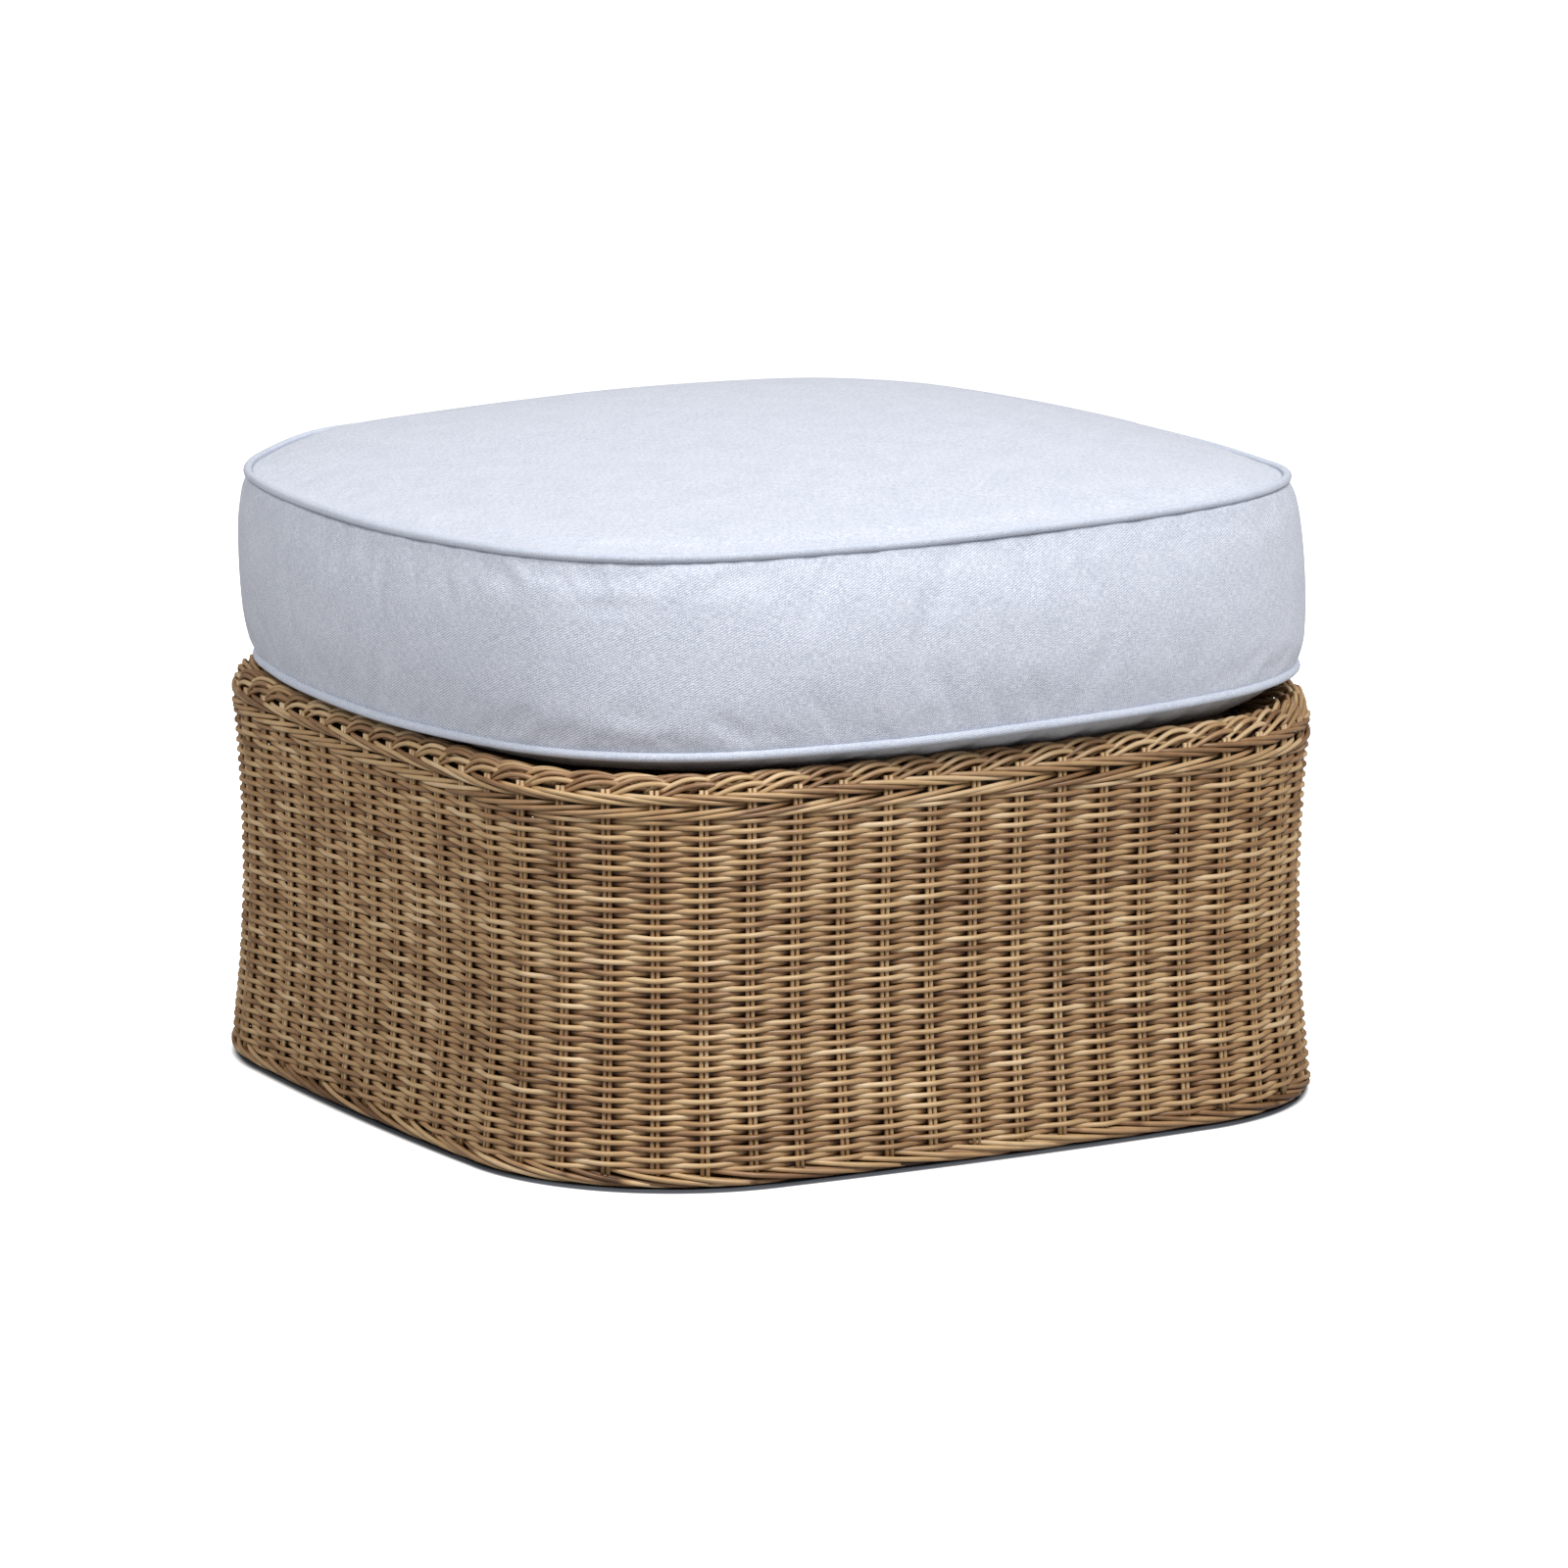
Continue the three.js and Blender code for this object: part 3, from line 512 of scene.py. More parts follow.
frameMaterial = makePlainMaterial(
    "brownPowderCoat", dark=(0.060, 0.040, 0.026), light=(0.085, 0.060, 0.040),
    roughness=0.5, scale=1400, depth=0.1 * mm, metallic=0.3)
nylonMaterial = makePlainMaterial(
    "blackNylon", dark=(0.014, 0.013, 0.012), light=(0.025, 0.023, 0.021),
    roughness=0.55, scale=1600, depth=0.1 * mm)
foamMaterial = makePlainMaterial(
    "creamFoam", dark=(0.72, 0.66, 0.50), light=(0.80, 0.75, 0.60), roughness=0.9, scale=1100, depth=0.4 * mm)
fibreMaterial = makePlainMaterial(
    "whiteFibre", dark=(0.82, 0.82, 0.80), light=(0.90, 0.90, 0.88), roughness=0.95, scale=420, depth=1.2 * mm)
zipMaterial = makePlainMaterial(
    "greyZipPlastic", dark=(0.42, 0.46, 0.54), light=(0.50, 0.54, 0.62),
    roughness=0.42, scale=1500, depth=0.06 * mm)
print("materials made")


# Side weave: rows of one strand, over a pair of canes and under the next

weave = {
    "rows": 67, "foot": 9.8 * mm, "underRidge": 15.5 * mm,  # the lower braid row sits over the last of it
    "middle": 3.6 * mm, "swing": 3.05 * mm, "stepsPerStake": 8, "pieces": 4,
    "flat": 0.06,  # of a second wave, which flattens the strand's bend over the canes
    "wobble": 0.3 * mm, "pull": 0.1 * mm, "toneSpread": 0.62, "rowDrift": 0.34,
    # the weave's shade is painted: a strand's tone drops where it swings in behind the canes
    "swell": 0.95, "shade": 0.95, "shadeFrom": 0.5, "shadeOver": 0.4,  # fuller and darker inside the canes
}
canePairs = {
    "below": 14 * mm, "above": 3 * mm, "points": 14, "forward": 1.2 * mm, "paintedLight": 0.12, "tones": 0.5,
}


def eased(share):
    share = np.clip(share, 0, 1)
    return share * share * (3 - 2 * share)


def rowTones(points, perStake, spread, drift):
    stretches = rng.random(base["stakes"])  # a tone lasts about a stake
    own = (rng.random() - 0.5) * drift
    at = np.arange(points) / perStake
    along = np.interp(at, np.arange(base["stakes"]), stretches, period=base["stakes"])
    return 0.5 + own + (along - 0.5) * spread


def makeSideWeave():
    top = base["ridge"] - weave["underRidge"]
    gap = (top - weave["foot"]) / weave["rows"]
    count = base["stakes"] * weave["stepsPerStake"]
    steps = np.arange(count) / weave["stepsPerStake"] - 0.5
    stakes = np.arange(base["stakes"])
    rows, tones, swells = [], [], []
    for row in range(weave["rows"]):
        phase = np.pi * (steps + row)
        swing = (np.cos(phase) + weave["flat"] * np.cos(3 * phase)) / (1 + weave["flat"])
        pull = np.interp(steps, stakes, rng.normal(0, 1, base["stakes"]), period=base["stakes"])
        height = weave["foot"] + gap * (row + 0.5) + pull * weave["wobble"]
        inset = wallInsetAt(height) + weave["middle"] - swing * weave["swing"] + pull * weave["pull"]
        rows.append(runAlong(baseOutline, stakeDistance(steps), inset, height))
        swells.append(1 + weave["swell"] * ((1 - swing) / 2) ** 2)
        # painted shade: the tone drops where the strand swings in behind the canes
        shade = weave["shade"] * eased((-swing - weave["shadeFrom"]) / weave["shadeOver"])
        tones.append(rowTones(count, weave["stepsPerStake"], weave["toneSpread"], weave["rowDrift"]) - shade)
    ends = np.linspace(0, weave["rows"], weave["pieces"] + 1).astype(int)
    for piece in range(weave["pieces"]):
        part = slice(ends[piece], ends[piece + 1])
        name = f"weaveRows_{piece + 1}"
        thing = layStrands(name, rows[part], strand["rowWidth"], tones[part], True, swells[part])
        dress(thing, "base", "wicker", wickerMaterial, "side_weave")


def makeCanes():
    low, high = base["foot"] - canePairs["below"], base["ridge"] + canePairs["above"]
    height = np.linspace(low, high, canePairs["points"])
    inset = wallInsetAt(height) + weave["middle"] - canePairs["forward"]
    runs = []
    for stake in range(base["stakes"]):
        for side in (-0.5, 0.5):
            along = np.full(len(height), stakeDistance(stake) + side * strand["caneGap"])
            runs.append(runAlong(baseOutline, along, inset, height))
    # painted light: the canes' tone is raised so they read as lit between the rows
    tones = [tone + canePairs["paintedLight"] for tone in flatTones(runs, canePairs["tones"])]
    thing = layStrands("canePairs", runs, strand["caneWidth"], tones)
    dress(thing, "base", "wicker", wickerMaterial, "side_weave")


makeSideWeave()
makeCanes()
print("side weave laid")


# Braids: one rod to a stake, each on show for a little over two pitches

topBraid = {
    "upper": [(0.0, 9.6, -0.6), (0.3, 6.2, -0.3), (0.6, 3.4, -0.5), (1.0, 2.4, -1.0), (1.5, 2.2, -2.4),
              (2.0, 2.5, -4.0), (2.45, 4.2, -5.3), (2.75, 7.0, -6.0), (3.0, 9.8, -6.4)],
    "lower": [(0.0, 9.6, -14.4), (0.3, 6.4, -14.6), (0.6, 3.6, -14.4), (1.0, 2.5, -13.7), (1.5, 2.2, -12.3),
              (2.0, 2.5, -10.7), (2.45, 4.2, -9.4), (2.75, 7.0, -8.8), (3.0, 9.8, -8.5)],
}  # pitches along, mm in from the outline, mm from the ridge
footBraid = {
    "over": [(-0.35, 6.4, 12.4), (-0.1, 5.2, 11.6), (0.15, 3.0, 10.6), (0.45, 0.8, 9.3), (0.9, -0.8, 7.3),
             (1.4, -1.0, 5.3), (1.9, 0.0, 3.6), (2.4, 2.6, 2.3), (2.9, 6.5, 1.9), (3.3, 10.0, 2.6)],
    "under": [(0.0, 6.5, 9.6), (0.3, 4.0, 8.2), (0.6, 1.9, 6.9), (1.0, 0.8, 5.5), (1.5, 0.6, 4.0),
              (2.0, 1.5, 2.8), (2.5, 4.0, 1.9), (2.9, 7.5, 1.9), (3.3, 11.0, 2.6)],
}  # the heights are mm above the floor
braidLoose = {"inset": 0.15, "height": 0.1, "clear": 0.1, "tones": 0.75}  # mm, and a share


def makeBraidRow(name, knots, datum, node, start=0, wander=0.03, shadeBehind=0, shadeDown=0):
    shape = smoothed(knots, strand["knotSteps"])
    runs = []
    for stake in range(base["stakes"]):
        stretch, late = 1 + rng.normal(0, wander), rng.normal(0, wander)
        along = stakeDistance(stake + start + shape[:, 0] * stretch + late)
        inset = shape[:, 1] * mm + rng.normal(0, braidLoose["inset"]) * mm
        height = datum + (shape[:, 2] + rng.normal(0, braidLoose["height"] + 2 * wander)) * mm
        height = np.maximum(height, strand["width"] / 2 + braidLoose["clear"] * mm)  # never into the floor
        runs.append(runAlong(baseOutline, along, inset, height))
    # painted shade: darker towards the end where each rod turns under the foot, and darker all along the rod
    # that lies behind
    braidShade = shadeBehind + shadeDown * np.linspace(0, 1, len(shape)) ** 1.5
    tones = [tone - braidShade for tone in flatTones(runs, braidLoose["tones"])]
    thing = layStrands(name, runs, strand["width"], tones)
    dress(thing, "base", "wicker", wickerMaterial, node)


makeBraidRow("topBraidUpper", topBraid["upper"], base["ridge"], "top_braid")
makeBraidRow("topBraidLower", topBraid["lower"], base["ridge"], "top_braid")
makeBraidRow("footBraidOver", footBraid["over"], 0, "foot_border", wander=0.09, shadeDown=0.35)
makeBraidRow("footBraidUnder", footBraid["under"], 0, "foot_border",
             start=0.5, wander=0.09, shadeBehind=0.25, shadeDown=0.35)


# Rolled rim: five strands to a stake, up over the ridge in an arch and in under the cushion

rolledRim = [
    [(-0.95, 6.5, -2.5), (-0.75, 5.0, 0.2), (-0.5, 4.2, 3.6), (-0.2, 4.6, 6.0), (0.1, 5.6, 6.2),
     (0.38, 7.6, 4.4), (0.65, 10.4, 2.4), (1.1, 16.5, 1.3), (1.7, 28.0, 1.8), (2.2, 38.0, 1.6),
     (2.7, 47.0, 1.2)],
    [(-1.1, 8.0, -1.5), (-0.88, 6.6, 2.2), (-0.64, 6.0, 6.3), (-0.36, 6.8, 9.3), (-0.05, 8.2, 9.4),
     (0.22, 10.2, 7.2), (0.5, 13.0, 4.2), (0.9, 18.0, 2.0), (1.3, 24.5, 2.0), (1.9, 35.0, 1.8),
     (2.6, 48.0, 1.2)],
    [(-1.25, 11.0, 0.0), (-1.02, 9.0, 4.2), (-0.8, 8.6, 8.0), (-0.54, 9.8, 10.6), (-0.24, 11.6, 10.7),
     (0.04, 14.0, 8.8), (0.32, 17.0, 6.0), (0.7, 21.5, 3.0), (1.3, 30.0, 2.4), (1.9, 41.0, 1.6),
     (2.3, 48.0, 1.2)],
    [(-1.38, 15.0, 1.0), (-1.16, 13.0, 5.0), (-0.95, 12.8, 8.2), (-0.7, 14.2, 10.0), (-0.42, 16.2, 9.9),
     (-0.14, 19.0, 8.2), (0.18, 22.8, 5.6), (0.6, 28.0, 3.2), (1.2, 37.5, 2.2), (1.9, 47.5, 1.2)],
    [(-1.5, 20.0, 2.0), (-1.3, 18.0, 5.2), (-1.08, 18.2, 7.4), (-0.82, 20.2, 8.3), (-0.55, 22.6, 8.1),
     (-0.28, 25.2, 6.8), (0.05, 29.2, 4.8), (0.6, 36.0, 2.8), (1.2, 44.5, 1.8), (1.5, 49.0, 1.2)],
]  # for each strand of a group, front one first: pitches along, mm in from the outline, mm above the ridge
rimLoose = {"along": 0.03, "height": 0.25, "tones": 0.7}  # pitches, mm, share
rimRise = 0.3  # so much higher at the right, where the cushion sits higher


def makeRolledRim():
    runs = []
    for stake in range(base["stakes"]):
        for knots in rolledRim:
            shape = smoothed(knots, strand["knotSteps"])
            along = stakeDistance(stake + shape[:, 0] + rng.normal(0, rimLoose["along"]))
            run = runAlong(baseOutline, along, shape[:, 1] * mm, 0)
            rise = 1 + rimRise * eased(run[:, 0] / base["half"])
            arch = shape[:, 2] * rise + rng.normal(0, rimLoose["height"])
            run[:, 2] = base["ridge"] + arch * mm
            runs.append(run)
    thing = layStrands("rolledRim", runs, strand["width"], flatTones(runs, rimLoose["tones"]))
    dress(thing, "base", "wicker", wickerMaterial, "rolled_rim")


makeRolledRim()


# Foot border: strands that turn under the bottom ring

footWrap = {
    "strands": 5,
    "knots": [(0.0, 6.8, 4.2), (0.2, 9.0, 2.7), (0.45, 13.0, 3.3), (0.75, 18.0, 4.65), (1.1, 25.0, 4.75),
              (1.35, 31.0, 5.2), (1.5, 34.0, 7.4)],  # pitches along, mm in from the outline, mm above the floor
    "loose": 0.3, "tones": 0.6, "knotSteps": 2,  # mm, share, steps from knot to knot
}


def makeFootWrap():
    shape = smoothed(footWrap["knots"], footWrap["knotSteps"])
    runs = []
    for number in range(base["stakes"] * footWrap["strands"]):
        along = stakeDistance(number / footWrap["strands"] + shape[:, 0])
        along += rng.normal(0, footWrap["loose"]) * mm
        runs.append(runAlong(baseOutline, along, shape[:, 1] * mm, shape[:, 2] * mm))
    thing = layStrands("footWrap", runs, strand["width"], flatTones(runs, footWrap["tones"]))
    dress(thing, "base", "wicker", wickerMaterial, "foot_border")


makeFootWrap()
print("braids, rolled rim and foot border laid")


# Deck: open plain weave under the cushion, from edge to edge of the top ring

deck = {
    "inset": 35.5 * mm, "rowGap": 4.1 * mm, "stakeGap": 30 * mm, "width": 3.5 * mm, "swing": 1.7 * mm,
    "middle": sum(nodeSpan("deck_panel", 2)) / 2, "pairsEachWay": 8, "edgePoints": 720, "canePoints": 24,
    "near": 4 * mm,  # the edge's points that tell how long a row is
    "stepsPerStake": 6, "fewestSteps": 4, "rowTones": 0.7, "caneTones": 0.5,
}


def makeDeck():
    around = np.linspace(0, baseOutline["girth"], deck["edgePoints"], endpoint=False)
    edge = runAlong(baseOutline, around, np.full(deck["edgePoints"], deck["inset"]), 0)
    reach = edge[:, 1].max() - deck["width"] / 2

    def halfWidthAt(y):
        near = np.abs(edge[:, 1] - y) < deck["near"]
        return np.abs(edge[near, 0]).max() if near.any() else 0

    runs = []
    for row, y in enumerate(np.arange(-reach, reach, deck["rowGap"])):
        half = halfWidthAt(y)
        steps = int(2 * half / (deck["stakeGap"] / deck["stepsPerStake"]))
        x = np.linspace(-half, half, max(deck["fewestSteps"], steps))
        height = deck["middle"] + deck["swing"] * np.cos(np.pi * (x / deck["stakeGap"] + row))
        runs.append(np.column_stack([x, np.full(len(x), y), height]))
    rows = layStrands("deckRows", runs, deck["width"], flatTones(runs, deck["rowTones"]))
    dress(rows, "base", "deck_weave", deckMaterial, "deck_panel")
    canes = []
    for number in range(-deck["pairsEachWay"], deck["pairsEachWay"] + 1):
        for side in (-0.5, 0.5):
            x = number * deck["stakeGap"] + side * strand["caneGap"]
            half = halfWidthAt(abs(x))  # the outline is the same across both ways
            y = np.linspace(-half, half, deck["canePoints"])
            canes.append(np.column_stack([np.full(len(y), x), y, np.full(len(y), deck["middle"])]))
    pairs = layStrands("deckCanes", canes, deck["width"], flatTones(canes, deck["caneTones"]))
    dress(pairs, "base", "deck_weave", deckMaterial, "deck_panel")


makeDeck()
print("deck laid")


# Cushion: a crowned box form, filled out by cloth simulation, then cut along its seams

piping = {
    "width": 6 * mm, "strip": 19 * mm, "points": 720, "sides": 12,
    "waves": ((0.031, 1.0), (0.047, 4.0), (0.083, 2.0)), "waverAcross": 0.12 * mm, "waverUp": 0.15 * mm,
    "apart": 130,  # points between the waver across and the same one up
}
cushion = {
    "half": nodeSpan("piping_top", 0)[1] - piping["width"] / 2, "cornerRadius": 172 * mm, "bow": 14.8 * mm,
    "topSeam": sum(nodeSpan("piping_top", 2)) / 2, "bottomSeam": sum(nodeSpan("piping_bottom", 2)) / 2,
    "rest": nodeSpan("cover_bottom_panel", 2)[0], "crown": 34 * mm, "crownPower": 2.52,
    "crownLean": (0.24, 0.18), "crownCorner": 0.07, "cornerAt": 0.74,
    "droopWidth": 85 * mm, "bulge": 4.5 * mm, "puff": 6 * mm, "topPuff": 2 * mm, "voxel": 6 * mm,
    "tilt": 0.024, "shiftTop": (-1.6 * mm, 0.9 * mm), "shiftBottom": (4.7 * mm, -2.4 * mm),
    "liftFront": 1.8 * mm, "pipingSunk": 0.8 * mm,
}
cushionRings = {  # shares of the half width over the top and under the bottom, rings up the side
    "points": 176, "side": 14, "lookUp": 2000,  # places tried when a point's girth is looked up
    "over": (0.12, 0.25, 0.38, 0.5, 0.62, 0.72, 0.8, 0.87, 0.93, 0.97, 1.0),
    "under": (1.0, 0.97, 0.93, 0.88, 0.82, 0.76, 0.7, 0.6, 0.45, 0.3, 0.15),
}
zipFit = {
    "middle": sum(nodeSpan("zip_teeth", 2)) / 2, "halfLength": nodeSpan("zip_tape_upper", 0)[1] - 0.2 * mm,
    "slot": 12 * mm, "hem": 1.3 * mm, "proud": 2 * mm, "inside": 0.2 * mm,
    "back": 0.28, "backHalf": 0.2,  # only what lies further back than these is near the zip
    "heldHalf": 0.17, "heldHeight": 12 * mm, "cutHalf": 0.175, "cutHeight": 14 * mm,
    "proudHeight": 26 * mm, "proudFade": 10 * mm, "proudEnd": 12 * mm,
}
filling = {
    "quality": 5, "mass": 0.3, "pressure": 4, "bending": 0.6, "steps": 20,
    "slack": -0.015,  # so the cloth puckers at the seams
    "seamHold": 4 * mm, "edgeShare": 0.9, "deckHold": 1.5 * mm,
}
cushionLean = {  # where its crookedness starts and how far it takes to come in
    "above": 2 * mm, "aboveOver": 20 * mm, "back": 0.28, "backOver": 0.13, "rightBack": -0.1,
    "rightBackOver": 0.26, "left": 0.17, "leftOver": 0.08, "right": 0.1, "rightOver": 0.2,
}
cushionOutline = makeOutline(cushion["half"], cushion["cornerRadius"], cushion["bow"])


def fullness(flat):
    half = cushion["half"]  # of the crown at a place: more to the right and the back, less in the corners
    corner = np.minimum(1, np.abs(flat[:, 0] * flat[:, 1]) / (cushion["cornerAt"] * half * half))
    return (1 + flat @ np.array(cushion["crownLean"]) / half) * (1 - cushion["crownCorner"] * corner)


def cushionForm():
    count = cushionRings["points"]
    distance = np.arange(count) / count * cushionOutline["girth"]
    place, out = walk(cushionOutline, distance)
    drop = cushion["bottomSeam"] - cushion["rest"]
    rings = []
    for share in cushionRings["over"]:
        rings.append((0, share, cushion["topSeam"] + cushion["crown"] * (1 - share ** cushion["crownPower"])))
    for along in np.linspace(0, 1, cushionRings["side"])[1:-1]:
        height = cushion["topSeam"] + (cushion["bottomSeam"] - cushion["topSeam"]) * along
        rings.append((cushion["bulge"] * 4 * along * (1 - along), 1, height))
    for share in cushionRings["under"]:
        along = min(1, (1 - share) * cushion["half"] / cushion["droopWidth"])
        rings.append((0, share, cushion["bottomSeam"] - drop * (1 - (1 - along) ** 2)))
    verts = [(0, 0, cushion["topSeam"] + cushion["crown"])]
    for offset, share, height in rings:
        flat = (place + out * offset) * share
        above = max(0, height - cushion["topSeam"])
        verts += [(x, y, height + above * (more - 1)) for (x, y), more in zip(flat, fullness(flat))]
    verts.append((0, 0, cushion["rest"]))
    faces = [(0, 1 + i, 1 + (i + 1) % count) for i in range(count)]
    for ring in range(len(rings) - 1):
        a, b = 1 + ring * count, 1 + (ring + 1) * count
        faces += [(a + i, b + i, b + (i + 1) % count, a + (i + 1) % count) for i in range(count)]
    a, last = 1 + (len(rings) - 1) * count, len(verts) - 1
    faces += [(last, a + (i + 1) % count, a + i) for i in range(count)]
    mesh = bpy.data.meshes.new("cushionForm")
    mesh.from_pydata(verts, [], faces)
    thing = bpy.data.objects.new("cushionForm", mesh)
    scene.collection.objects.link(thing)
    return thing


def nearZip(places, halfLength, halfHeight):
    return ((places[:, 1] > zipFit["back"]) & (np.abs(places[:, 0]) < halfLength)
            & (np.abs(places[:, 2] - zipFit["middle"]) < halfHeight))


def fillOut(form):
    addModifier(form, "REMESH", mode="VOXEL", voxel_size=cushion["voxel"])
    rest = vertexPlaces(form)
    height = rest[:, 2]
    held = form.vertex_groups.new(name="seams")
    fromSeam = np.minimum(np.abs(height - cushion["topSeam"]), np.abs(height - cushion["bottomSeam"]))
    atSeam = fromSeam < filling["seamHold"]
    nearEdge = np.hypot(rest[:, 0], rest[:, 1]) > filling["edgeShare"] * cushion["half"]
    onDeck = height < cushion["rest"] + filling["deckHold"]
    atZip = nearZip(rest, zipFit["heldHalf"], zipFit["heldHeight"])
    held.add([int(i) for i in np.nonzero((atSeam & nearEdge) | onDeck | atZip)[0]], 1.0, "REPLACE")
    pick(form)
    cloth = form.modifiers.new("fill", "CLOTH")
    cloth.settings.quality = filling["quality"]
    cloth.settings.mass = filling["mass"]
    cloth.settings.use_pressure = True
    cloth.settings.uniform_pressure_force = filling["pressure"]
    cloth.settings.effector_weights.gravity = 0
    cloth.settings.vertex_group_mass = "seams"
    cloth.settings.shrink_min = filling["slack"]
    cloth.settings.bending_stiffness = filling["bending"]
    for number in range(1, filling["steps"] + 1):
        scene.frame_set(number)
    bpy.ops.object.modifier_apply(modifier=cloth.name)
    scene.frame_set(1)
    moved = vertexPlaces(form) - rest
    length = np.linalg.norm(moved, axis=1, keepdims=True)
    onTop = np.clip((rest[:, 2:] - cushion["topSeam"]) / filling["seamHold"], 0, 1)
    most = cushion["puff"] * (1 - onTop) + cushion["topPuff"] * onTop
    cap = np.minimum(1, most / np.maximum(length, 1e-9))
    print("cushion filled, most moved by", round(float(length.max()) / mm, 1), "mm")
    placeVertices(form, rest + moved * cap)
    addModifier(form, "SUBSURF", levels=1, render_levels=1)
    return form


def editFaces(thing, test):
    pick(thing)  # leaves it in edit mode, with the faces that pass the test selected
    bpy.ops.object.mode_set(mode="EDIT")
    bpy.ops.mesh.select_mode(type="FACE")
    bpy.ops.mesh.select_all(action="DESELECT")
    bpy.ops.object.mode_set(mode="OBJECT")
    centres = np.empty(len(thing.data.polygons) * 3)
    thing.data.polygons.foreach_get("center", centres)
    thing.data.polygons.foreach_set("select", test(centres.reshape(-1, 3)))
    bpy.ops.object.mode_set(mode="EDIT")


def cutFlat(thing, test, point, normal):
    editFaces(thing, test)
    bpy.ops.mesh.bisect(plane_co=point, plane_no=normal)
    bpy.ops.object.mode_set(mode="OBJECT")


def splitOff(thing, test, name):
    editFaces(thing, test)
    bpy.ops.mesh.separate(type="SELECTED")
    bpy.ops.object.mode_set(mode="OBJECT")
    made = [o for o in bpy.context.selected_objects if o is not thing][0]
    made.name = name
    made.data.name = name
    return made


def lean(places):
    x, y, z = places.T  # the photographed cushion sits a little crooked; its back and its underside stay put
    zone = cushionLean
    share = np.clip((z - cushion["bottomSeam"]) / (cushion["topSeam"] - cushion["bottomSeam"]), 0, 1)
    free = eased((z - cushion["rest"] - zone["above"]) / zone["aboveOver"])
    offBack = eased((zone["back"] - y) / zone["backOver"])
    offRightBack = eased((zone["rightBack"] - y) / zone["rightBackOver"])
    leftEnd = np.maximum(offBack, eased((-x - zone["left"]) / zone["leftOver"]))
    right = eased((x + zone["right"]) / zone["rightOver"])
    shiftX = cushion["shiftBottom"][0] * (1 - share) + cushion["shiftTop"][0] * share
    shiftY = cushion["shiftBottom"][1] * (1 - share) + cushion["shiftTop"][1] * share
    rise = cushion["tilt"] * x * free * (leftEnd * (1 - right) + offRightBack * right)
    rise += cushion["liftFront"] * (1 - share) * free * offBack
    return np.column_stack([x + shiftX * free * offBack, y + shiftY * free * offBack, z + rise])


def girthAt(outline, x, y):
    distance = np.linspace(0, outline["girth"], cushionRings["lookUp"], endpoint=False)
    place = walk(outline, distance)[0]
    angle = np.arctan2(place[:, 1], place[:, 0])
    order = np.argsort(angle)
    turns = np.unwrap(distance[order] / outline["girth"] * 2 * np.pi)
    return np.interp(np.arctan2(y, x), angle[order], turns * outline["girth"] / (2 * np.pi))


def layCloth(thing, across, up):
    mesh = thing.data  # the cloth's own layout, in metres; a face never spans the girth's join
    layer = mesh.uv_layers.new(name="clothMap")
    corners = np.empty(len(mesh.loops), int)
    mesh.loops.foreach_get("vertex_index", corners)
    starts = np.empty(len(mesh.polygons), int)
    mesh.polygons.foreach_get("loop_start", starts)
    totals = np.empty(len(mesh.polygons), int)
    mesh.polygons.foreach_get("loop_total", totals)
    u, v = across[corners], up[corners]
    first = np.repeat(u[starts], totals)
    u = u - np.round((u - first) / cushionOutline["girth"]) * cushionOutline["girth"]
    layer.data.foreach_set("uv", np.column_stack([u, v]).ravel().astype(np.float32))
    mesh.uv_layers.active = layer


def makeCushion():
    form = fillOut(cushionForm())
    everything = lambda c: np.ones(len(c), bool)
    for height in (cushion["topSeam"], cushion["bottomSeam"]):
        cutFlat(form, everything, (0, 0, height), (0, 0, 1))
    top = splitOff(form, lambda c: c[:, 2] > cushion["topSeam"], "coverTop")
    bottom = splitOff(form, lambda c: c[:, 2] < cushion["bottomSeam"], "coverBottom")
    form.name = form.data.name = "boxingBand"
    roundZip = lambda c: nearZip(c, zipFit["cutHalf"], zipFit["cutHeight"])
    for side in (-1, 1):
        cutFlat(form, roundZip, (0, 0, zipFit["middle"] + side * zipFit["slot"] / 2), (0, 0, 1))
        cutFlat(form, roundZip, (side * zipFit["halfLength"], 0, 0), (1, 0, 0))
    editFaces(form, lambda c: nearZip(c, zipFit["halfLength"], zipFit["slot"] / 2))
    bpy.ops.mesh.region_to_loop()
    bpy.ops.object.mode_set(mode="OBJECT")
    rim = [e.index for e in form.data.edges if e.select]
    bpy.ops.object.mode_set(mode="EDIT")
    bpy.ops.mesh.select_mode(type="EDGE")
    bpy.ops.mesh.extrude_edges_move(TRANSFORM_OT_translate={"value": (0, -zipFit["hem"], 0)})
    inside = zipFit["inside"]
    editFaces(form, lambda c: nearZip(c, zipFit["halfLength"] - inside, zipFit["slot"] / 2 - inside))
    bpy.ops.mesh.delete(type="FACE")
    bpy.ops.object.mode_set(mode="OBJECT")
    print("zip slot cut,", len(rim), "edges hemmed")
    for thing in (top, bottom, form):
        places = vertexPlaces(thing)
        if thing is form:
            along = girthAt(cushionOutline, places[:, 0], places[:, 1])
            layCloth(thing, along, places[:, 2])
            off = zipFit["proudHeight"] - np.abs(places[:, 2] - zipFit["middle"])
            past = zipFit["halfLength"] + zipFit["proudEnd"] - np.abs(places[:, 0])
            nearTape = eased(off / zipFit["proudFade"])
            nearTape *= eased(past / zipFit["proudEnd"]) * (places[:, 1] > zipFit["backHalf"])
            out = walk(cushionOutline, along)[1]
            places[:, :2] += out * (zipFit["proud"] * nearTape)[:, None]  # over the tapes
        else:
            layCloth(thing, places[:, 0], places[:, 1])
        placeVertices(thing, lean(places))
        pick(thing)
        bpy.ops.object.shade_smooth()
    dress(top, "cushion", "cover_fabric", coverMaterial, "cover_top_panel")
    dress(bottom, "cushion", "cover_fabric", undersideMaterial, "cover_bottom_panel")
    dress(form, "cushion", "cover_fabric", coverMaterial, "boxing", "boxing_back_lower", "boxing_back_upper")


